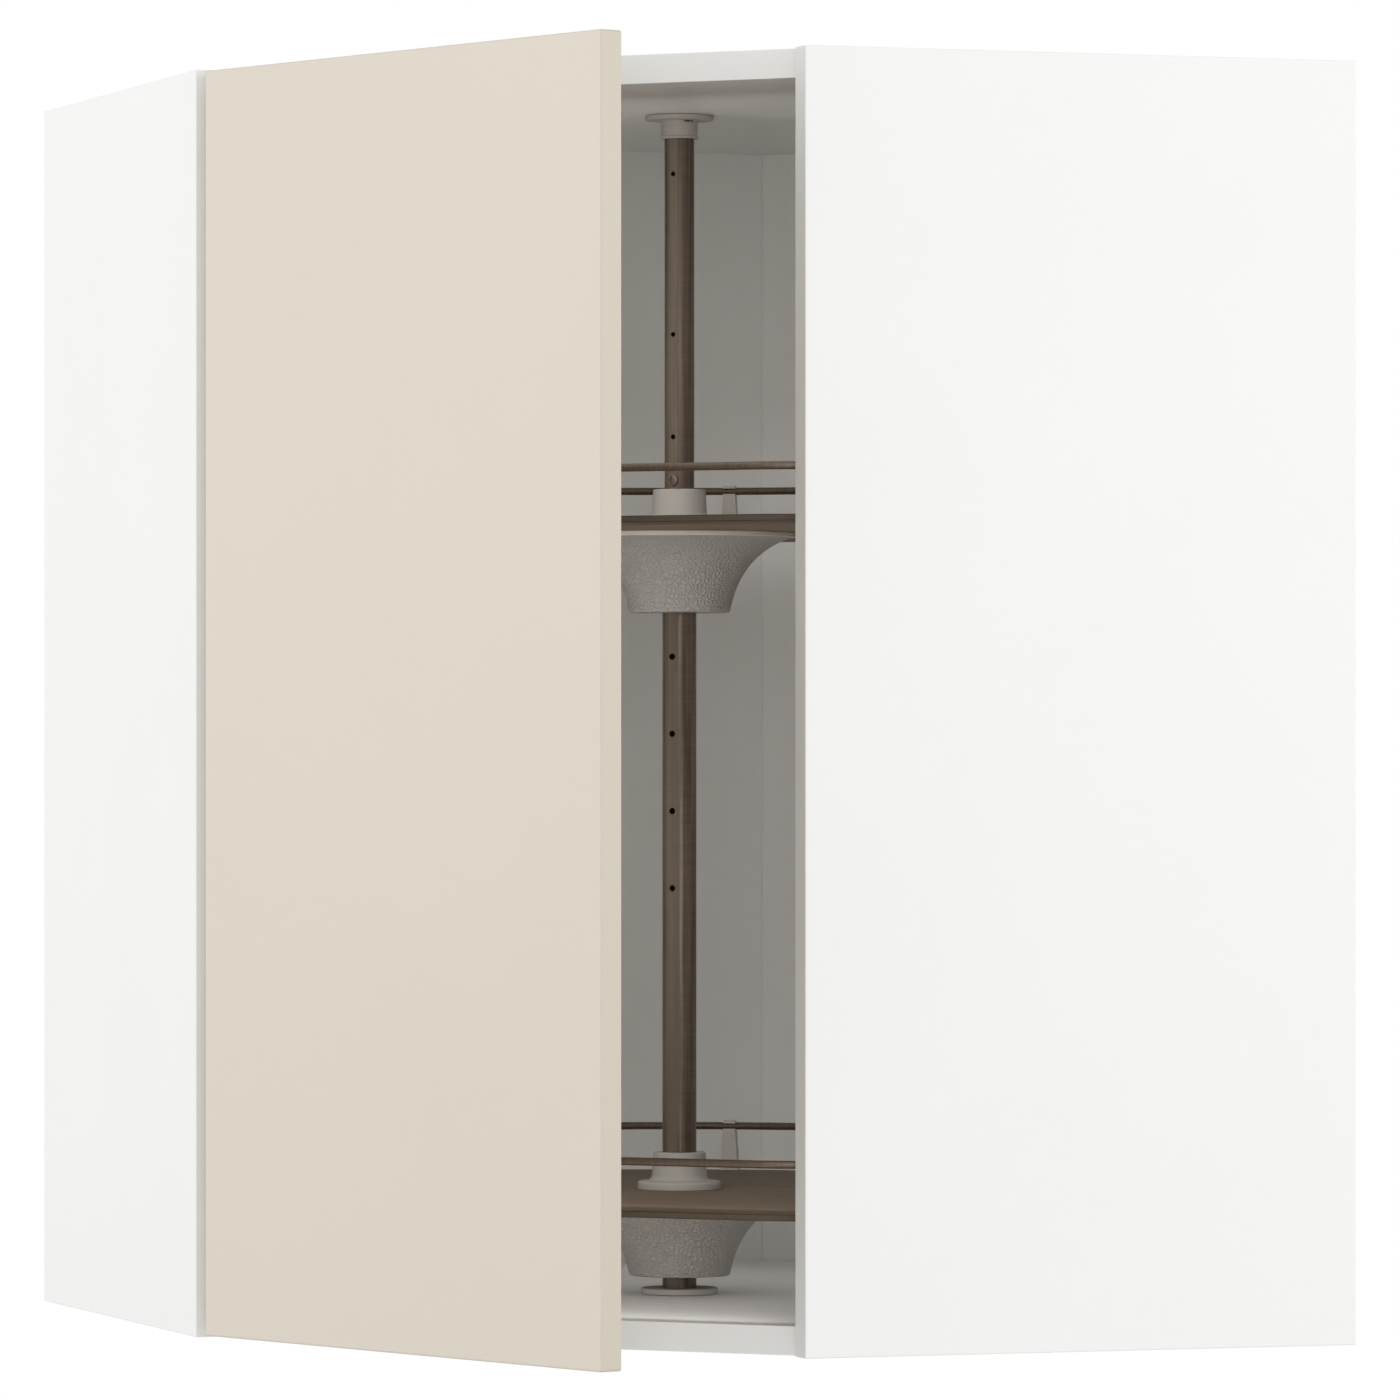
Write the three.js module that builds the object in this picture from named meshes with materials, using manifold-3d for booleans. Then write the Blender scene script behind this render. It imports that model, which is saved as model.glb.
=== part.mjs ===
// A diagonal corner wall cabinet with a plain door and a two-tray carousel.
// Millimetres, +Z up. The origin is the carousel axis at the underside of the cabinet.
// The two walls of the room are behind it, at +X and +Y, and the door faces the -X -Y diagonal.

import * as THREE from 'three';
import { mergeVertices } from 'three/addons/utils/BufferGeometryUtils.js';
import Module from 'manifold-3d';

const wasm = await Module();
wasm.setup();

// Cabinet
const HEIGHT = 800; // over all
const WALL_RUN = 665.2; // along each wall, from the corner to the outer face of a side panel
const SIDE_DEPTH = 366; // side panel, from the wall to its front edge
const AXIS_TO_SIDE = 337.3; // outer face of a side panel to the carousel axis
const BOARD = 18;
const BACK_BOARD = 6;
const CORNER_LEG = 147.2; // what the angled back strip cuts off each back panel
const DECK_SETBACK = 11.9; // top and bottom panel, behind the front edge of the side panels
const SEAT = 0.3; // clearance between two pieces that touch

// Hanging fittings
const BRACKET_HEIGHT = 84;
const BRACKET_DEPTH = 52;
const BRACKET_WIDTH = 40;
const BRACKET_SHEET = 2.5;
const BRACKET_DROP = 14; // below the top panel
const WALL_BOLT_RADIUS = 4.5;

// Door
const DOOR_WIDTH = 397;
const DOOR_REVEAL = 1.5; // door short of the cabinet, at its top and at its foot
const DOOR_HEIGHT = HEIGHT - 2 * DOOR_REVEAL;
const DOOR_THICKNESS = 16;
const DOOR_EDGE_ROUND = 1.2;
const DOOR_BACK_LINE = 11; // back of the shut door, behind the outer front corners
const DOOR_START = 13.05; // hinge edge of the shut door, from the left outer front corner
const DOOR_AJAR = 25; // degrees open, as shown

// Hinges: a cup in the door, a cranked link and an arm on a mounting plate
const HINGE_HEIGHTS = { lower: 165, upper: 635 };
const CUP_RADIUS = 17.5;
const CUP_DEPTH = 11.5;
const CUP_WALL = 1.2;
const CUP_INSET = 22; // cup centre from the hinge edge of the door
const CUP_FLANGE = 1.1;
const CUP_SCREW_RISE = 22.5; // above and below the cup centre
const CUP_SCREW_OFFSET = 9.5; // away from the hinge edge
const ARM_PIVOT = new THREE.Vector2(54.5, 16.5);
const CUP_PIVOT = new THREE.Vector2(21.2, 8.9);
const LINK_SHARE = -1 / 3; // the link turns back by a third of the door's angle
const LINK_WIDTH = 12;
const LINK_CRANK_ANGLE = 47; // degrees, towards the bottom of the cup
const LINK_CRANK_LENGTH = 8;
const ARM_WIDTH = 16;
const ARM_HEIGHT = 7.2;
const ARM_SHEET = 1.5;
const PLATE_SETBACK = 37; // mounting plate, behind the front edge of the side panel
const PLATE_HEIGHT = 10.1; // mounting plate, off the side panel
const PLATE_SCREW_RISE = 16;

// Carousel post
const LOWER_TUBE_RADIUS = 11;
const LOWER_TUBE_WALL = 1.1;
const LOWER_TUBE_ABOVE_TRAY = 20; // its top end, above the upper tray
const UPPER_TUBE_WALL = 1.2;
const UPPER_TUBE_RADIUS = LOWER_TUBE_RADIUS - LOWER_TUBE_WALL - SEAT;
const TUBE_OVERLAP = 66;
const LOWER_HOLE_RADIUS = 2.1;
const LOWER_HOLE_FIRST = 281;
const LOWER_HOLE_PITCH = 50;
const LOWER_HOLE_COUNT = 4;
const UPPER_HOLE_RADIUS = 1.6;
const UPPER_HOLES_BELOW_TOP = [38.4, 142.4, 208.7];
const LOCK_SCREW_ABOVE_TRAY = 29.8;
const TOP_FLANGE_RADIUS = 22.2;
const TOP_FLANGE_THICKNESS = 3.1;
const TOP_COLLAR_RADIUS = 11.8;
const TOP_COLLAR_LENGTH = 15;
const BOTTOM_FLANGE_RADIUS = 25;
const BOTTOM_FLANGE_THICKNESS = 3.8;
const SPIGOT_RADIUS = 4.7;
const SPIGOT_LENGTH = 8;

// Trays
const TRAY_TOPS = { lower: 86, upper: 515.5 };
const TRAY_THICKNESS = 4.3;
const TRAY_RADIUS = 250; // half round behind
const TRAY_FRONT = 245; // flat front edge, from the axis
const TRAY_TO_SIDE = 6.561; // front corners of a tray, clear of the side panels
const TRAY_EDGE_ROUND = 0.8;
const RAIL_RADIUS = 2.5;
const RAIL_INSET = 10;
const RAIL_RISE = 30; // rail centre above the tray
const RAIL_BEND = 20; // the tightest bend that the rail takes
const RAIL_STEPS = 110;
const RAIL_SIDES = 6;
const CLIP_FOOT = 11.5;
const CLIP_TOP = 7.5;
const CLIP_DEPTH = 9;
const CLIP_LIP = 1.1; // above the rail
const CLIP_PEG_RADIUS = 2.2;
const CLIP_BEARINGS = [17.3, 75]; // degrees from straight behind, on both sides
const CLIP_FORWARD = 100; // the front pair of clips, ahead of the axis

// Hubs
const HUB_BORE = LOWER_TUBE_RADIUS + SEAT;
const SLEEVE_FLANGE_RADIUS = 27;
const SLEEVE_FLANGE_THICKNESS = 5.4;
const SLEEVE_RADIUS = 18;
const SLEEVE_TOP_RADIUS = 17;
const SLEEVE_HEIGHT = 24.2;
const SLEEVE_SKIRT_RADIUS = 15;
const SLEEVE_SKIRT_LENGTH = 12;
const BELL_RIM_RADIUS = 75;
const BELL_RIM_THICKNESS = 2.9;
const BELL_FOOT_RADIUS = 33;
const BELL_HEIGHT = 52.5;
const STOP_RING_HEIGHT = 8;

const HALF_TURN = Math.PI;
const QUARTER_TURN = Math.PI / 2;
const DOOR_FACING = -3 * Math.PI / 4; // compass bearing of the door, seen from the axis

// Where the boards lie
const WALL_FACE = WALL_RUN - AXIS_TO_SIDE;
const BACK_INNER = WALL_FACE - BACK_BOARD;
const SIDE_INNER = -AXIS_TO_SIDE + BOARD;
const SIDE_FRONT = WALL_FACE - SIDE_DEPTH;
const CORNER_SUM = 2 * BACK_INNER - CORNER_LEG;

// The front corners of a tray are rounded until they clear the side panels
const cornerOverlap = (TRAY_RADIUS + TRAY_FRONT) / Math.SQRT2 + SIDE_INNER + TRAY_TO_SIDE;
const TRAY_CORNER = Math.max(RAIL_INSET + RAIL_BEND, cornerOverlap / (Math.SQRT2 - 1));

// Materials
function finish(colour, roughness, metalness) {
  return new THREE.MeshStandardMaterial({ color: colour, roughness, metalness });
}
const WHITE_BOARD = () => finish(0xf4f4f2, 0.55, 0);
const WHITE_BACK = () => finish(0xe9e9e6, 0.6, 0);
const BEIGE_FRONT = () => finish(0xdfd6c7, 0.5, 0);
const BRONZE = () => finish(0x5e5142, 0.35, 0.8);
const BROWN_TRAY = () => finish(0x584c40, 0.2, 0);
const GREY_PLASTIC = () => finish(0xb4aca0, 0.7, 0);
const STEEL = () => finish(0xb9bbbd, 0.35, 1);

// Booleans
function solidOf(geometry) {
  const bare = geometry.clone();
  bare.deleteAttribute('normal');
  bare.deleteAttribute('uv');
  const merged = mergeVertices(bare, 1e-4);
  return new wasm.Manifold(new wasm.Mesh({
    numProp: 3,
    vertProperties: new Float32Array(merged.attributes.position.array),
    triVerts: new Uint32Array(merged.index.array),
  }));
}

function geometryOf(solid) {
  const mesh = solid.getMesh();
  const corners = mesh.vertProperties;
  const flat = new Float32Array(mesh.triVerts.length * 3);
  mesh.triVerts.forEach((vertex, i) => {
    for (let k = 0; k < 3; k += 1) flat[3 * i + k] = corners[mesh.numProp * vertex + k];
  });
  const geometry = new THREE.BufferGeometry();
  geometry.setAttribute('position', new THREE.BufferAttribute(flat, 3));
  geometry.computeVertexNormals();
  return geometry;
}

function joined(...geometries) {
  return geometryOf(geometries.map(solidOf).reduce((a, b) => a.add(b)));
}

function cutBy(geometry, ...tools) {
  return geometryOf([geometry, ...tools].map(solidOf).reduce((a, b) => a.subtract(b)));
}

function common(a, b) {
  return geometryOf(solidOf(a).intersect(solidOf(b)));
}

// Plain shapes
function box(x0, x1, y0, y1, z0, z1) {
  const geometry = new THREE.BoxGeometry(x1 - x0, y1 - y0, z1 - z0);
  return geometry.translate((x0 + x1) / 2, (y0 + y1) / 2, (z0 + z1) / 2);
}

function upright(radius, z0, z1, segments = 32) {
  const geometry = new THREE.CylinderGeometry(radius, radius, z1 - z0, segments);
  return geometry.rotateX(QUARTER_TURN).translate(0, 0, (z0 + z1) / 2);
}

function extruded(shape, z0, z1, curveSegments = 8) {
  const options = { depth: z1 - z0, bevelEnabled: false, curveSegments };
  return new THREE.ExtrudeGeometry(shape, options).translate(0, 0, z0);
}

function outline(points) {
  return new THREE.Shape(points.map(([x, y]) => new THREE.Vector2(x, y)));
}

// A profile of (radius, height) points, turned about +Z
function turned(profile, segments = 32) {
  const points = profile.map(([r, z]) => new THREE.Vector2(r, z));
  return new THREE.LatheGeometry(points, segments).rotateX(QUARTER_TURN);
}

// The same kind of profile as a ring: it closes on itself around a bore
function ring(profile, segments = 32) {
  return turned([...profile, profile[0]], segments);
}

// A bar with round ends between two points
function capsule(from, to, radius) {
  const along = Math.atan2(to.y - from.y, to.x - from.x);
  const shape = new THREE.Shape();
  shape.absarc(to.x, to.y, radius, along - QUARTER_TURN, along + QUARTER_TURN, false);
  shape.absarc(from.x, from.y, radius, along + QUARTER_TURN, along + 3 * QUARTER_TURN, false);
  shape.closePath();
  return shape;
}

function circle(x, y, radius) {
  const shape = new THREE.Shape();
  shape.absarc(x, y, radius, 0, 2 * HALF_TURN, false);
  return shape;
}

const cabinet = new THREE.Group();

function place(parent, name, geometry, material) {
  const mesh = new THREE.Mesh(geometry, material);
  mesh.name = name;
  parent.add(mesh);
  return mesh;
}

// The right half of the cabinet is the left half seen across the diagonal
function mirrorSolid(geometry) {
  const swap = new THREE.Matrix4().set(0, 1, 0, 0, 1, 0, 0, 0, 0, 0, 1, 0, 0, 0, 0, 1);
  const flipped = geometry.index ? geometry.toNonIndexed() : geometry.clone();
  flipped.applyMatrix4(swap);
  const corner = flipped.attributes.position;
  for (let i = 0; i < corner.count; i += 3) {
    const keep = [corner.getX(i + 1), corner.getY(i + 1), corner.getZ(i + 1)];
    corner.setXYZ(i + 1, corner.getX(i + 2), corner.getY(i + 2), corner.getZ(i + 2));
    corner.setXYZ(i + 2, ...keep);
  }
  flipped.computeVertexNormals();
  return flipped;
}

// ---- Carcass ---------------------------------------------------------------

// Wall bolt: through the angled bracket and the back panel
function wallBolt(clearance) {
  const hole = new THREE.CylinderGeometry(clearance, clearance, 60, 20);
  const z = HEIGHT - BOARD - BRACKET_DROP - BRACKET_HEIGHT / 2;
  return hole.translate(SIDE_INNER + SEAT + BRACKET_WIDTH * 0.62, BACK_INNER, z);
}

function plateScrewHoles() {
  return Object.values(HINGE_HEIGHTS).flatMap((height) => [-1, 1].map((side) => {
    const hole = new THREE.CylinderGeometry(1.9, 1.9, 12 + 10, 12).rotateZ(QUARTER_TURN);
    const z = height + side * PLATE_SCREW_RISE;
    return hole.translate(SIDE_INNER - 12 + 11, SIDE_FRONT + PLATE_SETBACK, z);
  }));
}

const sideBoard = box(-AXIS_TO_SIDE, SIDE_INNER, SIDE_FRONT, WALL_FACE, 0, HEIGHT);
place(cabinet, 'side_panel_left', cutBy(sideBoard, ...plateScrewHoles()), WHITE_BOARD());
place(cabinet, 'side_panel_right', mirrorSolid(sideBoard), WHITE_BOARD());

const deckSide = SIDE_INNER + SEAT;
const deckBack = BACK_INNER - SEAT;
const deckFrontSum = SIDE_INNER + SIDE_FRONT + DECK_SETBACK;
const deckCornerSum = CORNER_SUM - SEAT * Math.SQRT2;
const DECK_OUTLINE = [
  [deckSide, deckFrontSum - deckSide],
  [deckFrontSum - deckSide, deckSide],
  [deckBack, deckSide],
  [deckBack, deckCornerSum - deckBack],
  [deckCornerSum - deckBack, deckBack],
  [deckSide, deckBack],
];
const spigotHole = SPIGOT_RADIUS + SEAT;
const topDeck = extruded(outline(DECK_OUTLINE), HEIGHT - BOARD, HEIGHT);
const bottomDeck = extruded(outline(DECK_OUTLINE), 0, BOARD);
const topHole = upright(spigotHole, HEIGHT - BOARD - 5, HEIGHT - BOARD + SPIGOT_LENGTH + 1, 24);
const bottomHole = upright(spigotHole, BOARD - SPIGOT_LENGTH - 1, BOARD + 5, 24);
place(cabinet, 'top_panel', cutBy(topDeck, topHole), WHITE_BOARD());
place(cabinet, 'bottom_panel', cutBy(bottomDeck, bottomHole), WHITE_BOARD());

// The back panels meet the angled strip on a mitre
const mitreInner = CORNER_SUM - BACK_INNER;
const mitreOuter = CORNER_SUM + BACK_BOARD * Math.SQRT2 - WALL_FACE;
const mitreGap = SEAT * 1.1;
const BACK_OUTLINE = [
  [deckSide, BACK_INNER],
  [mitreInner - mitreGap, BACK_INNER],
  [mitreOuter - mitreGap, WALL_FACE],
  [deckSide, WALL_FACE],
];
const CORNER_OUTLINE = [
  [mitreInner, BACK_INNER],
  [BACK_INNER, mitreInner],
  [WALL_FACE, mitreOuter],
  [mitreOuter, WALL_FACE],
];
const backBoard = cutBy(extruded(outline(BACK_OUTLINE), 0, HEIGHT), wallBolt(WALL_BOLT_RADIUS));
place(cabinet, 'back_panel_left', backBoard, WHITE_BACK());
place(cabinet, 'back_panel_right', mirrorSolid(backBoard), WHITE_BACK());
place(cabinet, 'back_panel_corner', extruded(outline(CORNER_OUTLINE), 0, HEIGHT), WHITE_BACK());

// Angled steel fitting in each rear top corner, which takes a wall bolt
function hangingBracket() {
  const z1 = HEIGHT - BOARD - BRACKET_DROP;
  const z0 = z1 - BRACKET_HEIGHT;
  const x0 = SIDE_INNER + SEAT;
  const y1 = BACK_INNER - SEAT;
  const angle = new THREE.Shape();
  angle.moveTo(x0, y1 - BRACKET_DEPTH);
  angle.lineTo(x0 + BRACKET_SHEET, y1 - BRACKET_DEPTH);
  angle.lineTo(x0 + BRACKET_SHEET, y1 - 2 * BRACKET_SHEET);
  angle.quadraticCurveTo(
    x0 + BRACKET_SHEET, y1 - BRACKET_SHEET,
    x0 + 2 * BRACKET_SHEET, y1 - BRACKET_SHEET,
  );
  angle.lineTo(x0 + BRACKET_WIDTH, y1 - BRACKET_SHEET);
  angle.lineTo(x0 + BRACKET_WIDTH, y1);
  angle.lineTo(x0, y1);
  const bent = extruded(angle, z0, z1, 4);
  const heads = [0.22, 0.78].map((share) => {
    const head = new THREE.CylinderGeometry(2.6, 4.2, 2.4, 16).rotateZ(-QUARTER_TURN);
    const z = z0 + share * BRACKET_HEIGHT;
    return head.translate(x0 + BRACKET_SHEET + 1.1, y1 - BRACKET_DEPTH * 0.62, z);
  });
  return cutBy(joined(bent, ...heads), wallBolt(WALL_BOLT_RADIUS));
}
place(cabinet, 'hanging_bracket_left', hangingBracket(), STEEL());
place(cabinet, 'hanging_bracket_right', mirrorSolid(hangingBracket()), STEEL());

// ---- Door and hinges -------------------------------------------------------

// Front frame: x runs along the shut door from its hinge side, y into the cabinet
const front = new THREE.Group();
front.position.set(-AXIS_TO_SIDE, SIDE_FRONT, 0);
front.rotation.z = -QUARTER_TURN / 2;
cabinet.add(front);

// The link turns about the arm pivot and carries the door, which turns about the cup pivot
const ajar = THREE.MathUtils.degToRad(DOOR_AJAR);
const linkFrame = new THREE.Group();
linkFrame.position.set(ARM_PIVOT.x, ARM_PIVOT.y, 0);
linkFrame.rotation.z = -LINK_SHARE * ajar;
front.add(linkFrame);
const linkPieces = new THREE.Group();
linkPieces.position.set(-ARM_PIVOT.x, -ARM_PIVOT.y, 0);
linkFrame.add(linkPieces);
const doorFrame = new THREE.Group();
doorFrame.position.set(CUP_PIVOT.x, CUP_PIVOT.y, 0);
doorFrame.rotation.z = -ajar * (1 - LINK_SHARE);
linkPieces.add(doorFrame);
const doorPieces = new THREE.Group();
doorPieces.position.set(-CUP_PIVOT.x, -CUP_PIVOT.y, 0);
doorFrame.add(doorPieces);

const cupCentre = DOOR_START + CUP_INSET;
const cupScrewX = cupCentre + CUP_SCREW_OFFSET;
const flangeFoot = DOOR_BACK_LINE + SEAT;
const flangeTop = flangeFoot + CUP_FLANGE;
const cupFloor = DOOR_BACK_LINE - CUP_DEPTH;

// Along the door's thickness: a round bar about +Y
function crosswise(radius, y0, y1, x, z, segments) {
  const bar = new THREE.CylinderGeometry(radius, radius, y1 - y0, segments);
  return bar.translate(x, (y0 + y1) / 2, z);
}

function doorSlab() {
  const r = DOOR_EDGE_ROUND;
  const slab = new THREE.Shape();
  slab.moveTo(r, r);
  slab.lineTo(DOOR_WIDTH - r, r);
  slab.lineTo(DOOR_WIDTH - r, DOOR_HEIGHT - r);
  slab.lineTo(r, DOOR_HEIGHT - r);
  const rounded = new THREE.ExtrudeGeometry(slab, {
    depth: DOOR_THICKNESS - 2 * r,
    bevelEnabled: true,
    bevelThickness: r,
    bevelSize: r,
    bevelSegments: 3,
  });
  rounded.rotateX(QUARTER_TURN);
  rounded.translate(DOOR_START, DOOR_BACK_LINE - r, DOOR_REVEAL);
  const tools = Object.values(HINGE_HEIGHTS).flatMap((height) => {
    const pocket = CUP_RADIUS + SEAT;
    return [
      crosswise(pocket, cupFloor - SEAT, DOOR_BACK_LINE + 2, cupCentre, height, 28),
      ...[-1, 1].map((side) => {
        const screwZ = height + side * CUP_SCREW_RISE;
        return crosswise(1.9, 0.5, DOOR_BACK_LINE + 2, cupScrewX, screwZ, 12);
      }),
    ];
  });
  return cutBy(rounded, ...tools);
}
place(doorPieces, 'door', doorSlab(), BEIGE_FRONT());

// Cup: a round pot with a winged flange, open towards the hinge edge for the link
function hingeCup() {
  const inner = CUP_RADIUS - CUP_WALL;
  const wing = (radius) => {
    const low = new THREE.Vector2(cupScrewX, -CUP_SCREW_RISE);
    const high = new THREE.Vector2(cupScrewX, CUP_SCREW_RISE);
    return extruded(capsule(low, high, radius), 0, CUP_FLANGE, 5)
      .rotateX(QUARTER_TURN).translate(0, flangeTop, 0);
  };
  const pot = crosswise(CUP_RADIUS, cupFloor, flangeTop, cupCentre, 0, 28);
  const lip = crosswise(CUP_RADIUS + 1.3, flangeFoot, flangeTop, cupCentre, 0, 28);
  const hollow = crosswise(inner, cupFloor + CUP_WALL, flangeTop + 2, cupCentre, 0, 28);
  const halfLink = LINK_WIDTH / 2;
  const ears = [-1, 1].map((side) => {
    const near = side * (halfLink + 0.4);
    const far = side * (halfLink + 3.4);
    const ear = box(
      CUP_PIVOT.x - 3, CUP_PIVOT.x + 3,
      cupFloor + 0.5, flangeTop - 0.3,
      Math.min(near, far), Math.max(near, far),
    );
    return common(ear, pot);
  });
  const mouth = box(
    cupCentre - CUP_RADIUS - 3, CUP_PIVOT.x - 1,
    CUP_PIVOT.y - 3.1, flangeTop + 2,
    -halfLink - 0.4, halfLink + 0.4,
  );
  const pinHole = upright(1.3, -8.6, 8.6, 12).translate(CUP_PIVOT.x, CUP_PIVOT.y, 0);
  const screwHoles = [-1, 1].map((side) => (
    crosswise(1.9, flangeFoot - 2, flangeTop + 2, cupScrewX, side * CUP_SCREW_RISE, 12)
  ));
  const shell = cutBy(joined(pot, lip, wing(6.4)), hollow);
  return cutBy(joined(shell, ...ears), mouth, pinHole, ...screwHoles);
}

// Link: two eyes and a strip that is cranked into the cup
const crankStart = CUP_PIVOT;
const towardsArm = Math.atan2(ARM_PIVOT.y - CUP_PIVOT.y, ARM_PIVOT.x - CUP_PIVOT.x);
const crankBearing = towardsArm - THREE.MathUtils.degToRad(LINK_CRANK_ANGLE);
const crankEnd = new THREE.Vector2(
  crankStart.x + LINK_CRANK_LENGTH * Math.cos(crankBearing),
  crankStart.y + LINK_CRANK_LENGTH * Math.sin(crankBearing),
);

function hingeLink() {
  const half = LINK_WIDTH / 2;
  const solid = joined(
    extruded(capsule(crankStart, crankEnd, 1.2), -half, half, 3),
    extruded(capsule(crankEnd, ARM_PIVOT, 1.4), -half, half, 3),
    extruded(circle(ARM_PIVOT.x, ARM_PIVOT.y, 3), -half, half, 8),
    extruded(circle(CUP_PIVOT.x, CUP_PIVOT.y, 2), -half, half, 6),
  );
  const armEye = upright(1.8, -half - 1, half + 1, 16).translate(ARM_PIVOT.x, ARM_PIVOT.y, 0);
  const cupEye = upright(1.3, -half - 1, half + 1, 12).translate(CUP_PIVOT.x, CUP_PIVOT.y, 0);
  return cutBy(solid, armEye, cupEye);
}

// Arm: a pressed channel from the mounting plate out to the link's fixed pivot
function onSidePanel(setback, offFace) {
  const x = BOARD + offFace;
  return new THREE.Vector2((x - setback) * Math.SQRT1_2, (x + setback) * Math.SQRT1_2);
}

function hingeArm() {
  const half = ARM_WIDTH / 2;
  const r = ARM_HEIGHT / 2;
  const middle = PLATE_HEIGHT + SEAT + r;
  const rear = onSidePanel(PLATE_SETBACK + 16, middle);
  const bend = onSidePanel(PLATE_SETBACK - 6, middle);
  const body = joined(
    extruded(capsule(rear, bend, r), -half, half, 4),
    extruded(capsule(bend, ARM_PIVOT, r), -half, half, 4),
  );
  const inside = half - ARM_SHEET;
  const drop = ARM_SHEET;
  const shift = (point) => new THREE.Vector2(
    point.x - drop * Math.SQRT1_2 * 1.2, point.y - drop * Math.SQRT1_2 * 1.2,
  );
  const channel = [
    extruded(capsule(shift(bend), shift(ARM_PIVOT), r), -inside, inside, 4),
    extruded(circle(ARM_PIVOT.x, ARM_PIVOT.y, r + 3.2), -inside, inside, 8),
  ];
  const pinHole = upright(1.8, -half - 1, half + 1, 16).translate(ARM_PIVOT.x, ARM_PIVOT.y, 0);
  const adjuster = onSidePanel(PLATE_SETBACK + 8, 0);
  const driver = new THREE.CylinderGeometry(2.6, 2.6, 8, 14)
    .translate(0, middle + r + 2.4, 0)
    .rotateZ(-QUARTER_TURN / 2)
    .translate(adjuster.x, adjuster.y, 0);
  return cutBy(body, ...channel, pinHole, driver);
}

// A pin with a head at both ends, about +Z
function rivet(radius, headRadius, grip, headHeight, segments) {
  const half = grip / 2;
  return turned([
    [0, -half - headHeight],
    [headRadius, -half - headHeight],
    [headRadius, -half],
    [radius, -half],
    [radius, half],
    [headRadius, half],
    [headRadius, half + headHeight],
    [0, half + headHeight],
  ], segments);
}

// Domed screw with a cross recess, head up and shank down from z = 0
function crossScrew(headRadius, headHeight, shankRadius, length, segments) {
  const dome = headHeight * 0.45;
  const body = turned([
    [0, -length],
    [shankRadius, -length + 1.4 * shankRadius],
    [shankRadius, 0],
    [headRadius, 0],
    [headRadius, headHeight - dome],
    [headRadius * 0.72, headHeight],
    [0, headHeight],
  ], segments);
  const arm = headRadius * 0.55;
  const slot = headRadius * 0.13;
  const floor = headHeight * 0.4;
  return cutBy(
    body,
    box(-arm, arm, -slot, slot, floor, headHeight + 1),
    box(-slot, slot, -arm, arm, floor, headHeight + 1),
  );
}

// Mounting plate on the side panel, in the cabinet's own frame
function mountingPlate() {
  const y = SIDE_FRONT + PLATE_SETBACK;
  const face = SIDE_INNER + SEAT;
  const wings = new THREE.Shape();
  const low = new THREE.Vector2(y, -PLATE_SCREW_RISE - 1);
  const high = new THREE.Vector2(y, PLATE_SCREW_RISE + 1);
  wings.curves = capsule(low, high, 6.5).curves;
  const base = extruded(wings, 0, 2.6, 5);
  base.applyMatrix4(new THREE.Matrix4().set(0, 0, 1, face, 1, 0, 0, 0, 0, 1, 0, 0, 0, 0, 0, 1));
  const half = ARM_WIDTH / 2 - 1;
  const top = SIDE_INNER + PLATE_HEIGHT;
  const block = box(face, top, y - 18, y + 18, -half, half);
  const groove = box(top - 2, top + 1, y - 19, y + 19, -half / 3, half / 3);
  const holes = [-1, 1].map((side) => {
    const hole = new THREE.CylinderGeometry(1.9, 1.9, 12, 12).rotateZ(QUARTER_TURN);
    return hole.translate(face, y, side * PLATE_SCREW_RISE);
  });
  return cutBy(joined(base, block), groove, ...holes);
}

for (const [level, height] of Object.entries(HINGE_HEIGHTS)) {
  const named = (piece) => `${level}_hinge_${piece}`;

  const plate = place(cabinet, named('mounting_plate'), mountingPlate(), STEEL());
  plate.position.z = height;
  const arm = place(front, named('arm'), hingeArm(), STEEL());
  arm.position.z = height;
  const armPin = rivet(1.5, 2.6, ARM_WIDTH + 2 * SEAT, 0.9, 12);
  place(front, named('arm_pin'), armPin, STEEL()).position.set(ARM_PIVOT.x, ARM_PIVOT.y, height);

  place(linkPieces, named('link'), hingeLink(), STEEL()).position.z = height;
  place(doorPieces, named('cup'), hingeCup(), STEEL()).position.z = height;
  const cupPin = upright(1, -8.2, 8.2, 12);
  place(doorPieces, named('cup_pin'), cupPin, STEEL())
    .position.set(CUP_PIVOT.x, CUP_PIVOT.y, height);

  for (const [end, side] of [['low', -1], ['high', 1]]) {
    const plateScrew = crossScrew(3.6, 2, 1.6, 13, 8).rotateY(QUARTER_TURN);
    place(cabinet, named(`plate_screw_${end}`), plateScrew, STEEL()).position.set(
      SIDE_INNER + 2 * SEAT + 2.6,
      SIDE_FRONT + PLATE_SETBACK,
      height + side * PLATE_SCREW_RISE,
    );
    const cupScrew = crossScrew(3.6, 1.8, 1.6, 10, 8).rotateX(-QUARTER_TURN);
    place(doorPieces, named(`cup_screw_${end}`), cupScrew, STEEL())
      .position.set(cupScrewX, flangeTop + SEAT, height + side * CUP_SCREW_RISE);
  }
}

// ---- Carousel post ---------------------------------------------------------

// A round cutter that looks at the door from the axis
function doorwardHole(radius, z) {
  const hole = new THREE.CylinderGeometry(radius, radius, 20, 10).rotateZ(QUARTER_TURN);
  return hole.translate(10, 0, 0).rotateZ(DOOR_FACING).translate(0, 0, z);
}

function tube(radius, wall, z0, z1) {
  return ring([[radius - wall, z0], [radius, z0], [radius, z1], [radius - wall, z1]], 28);
}

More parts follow.
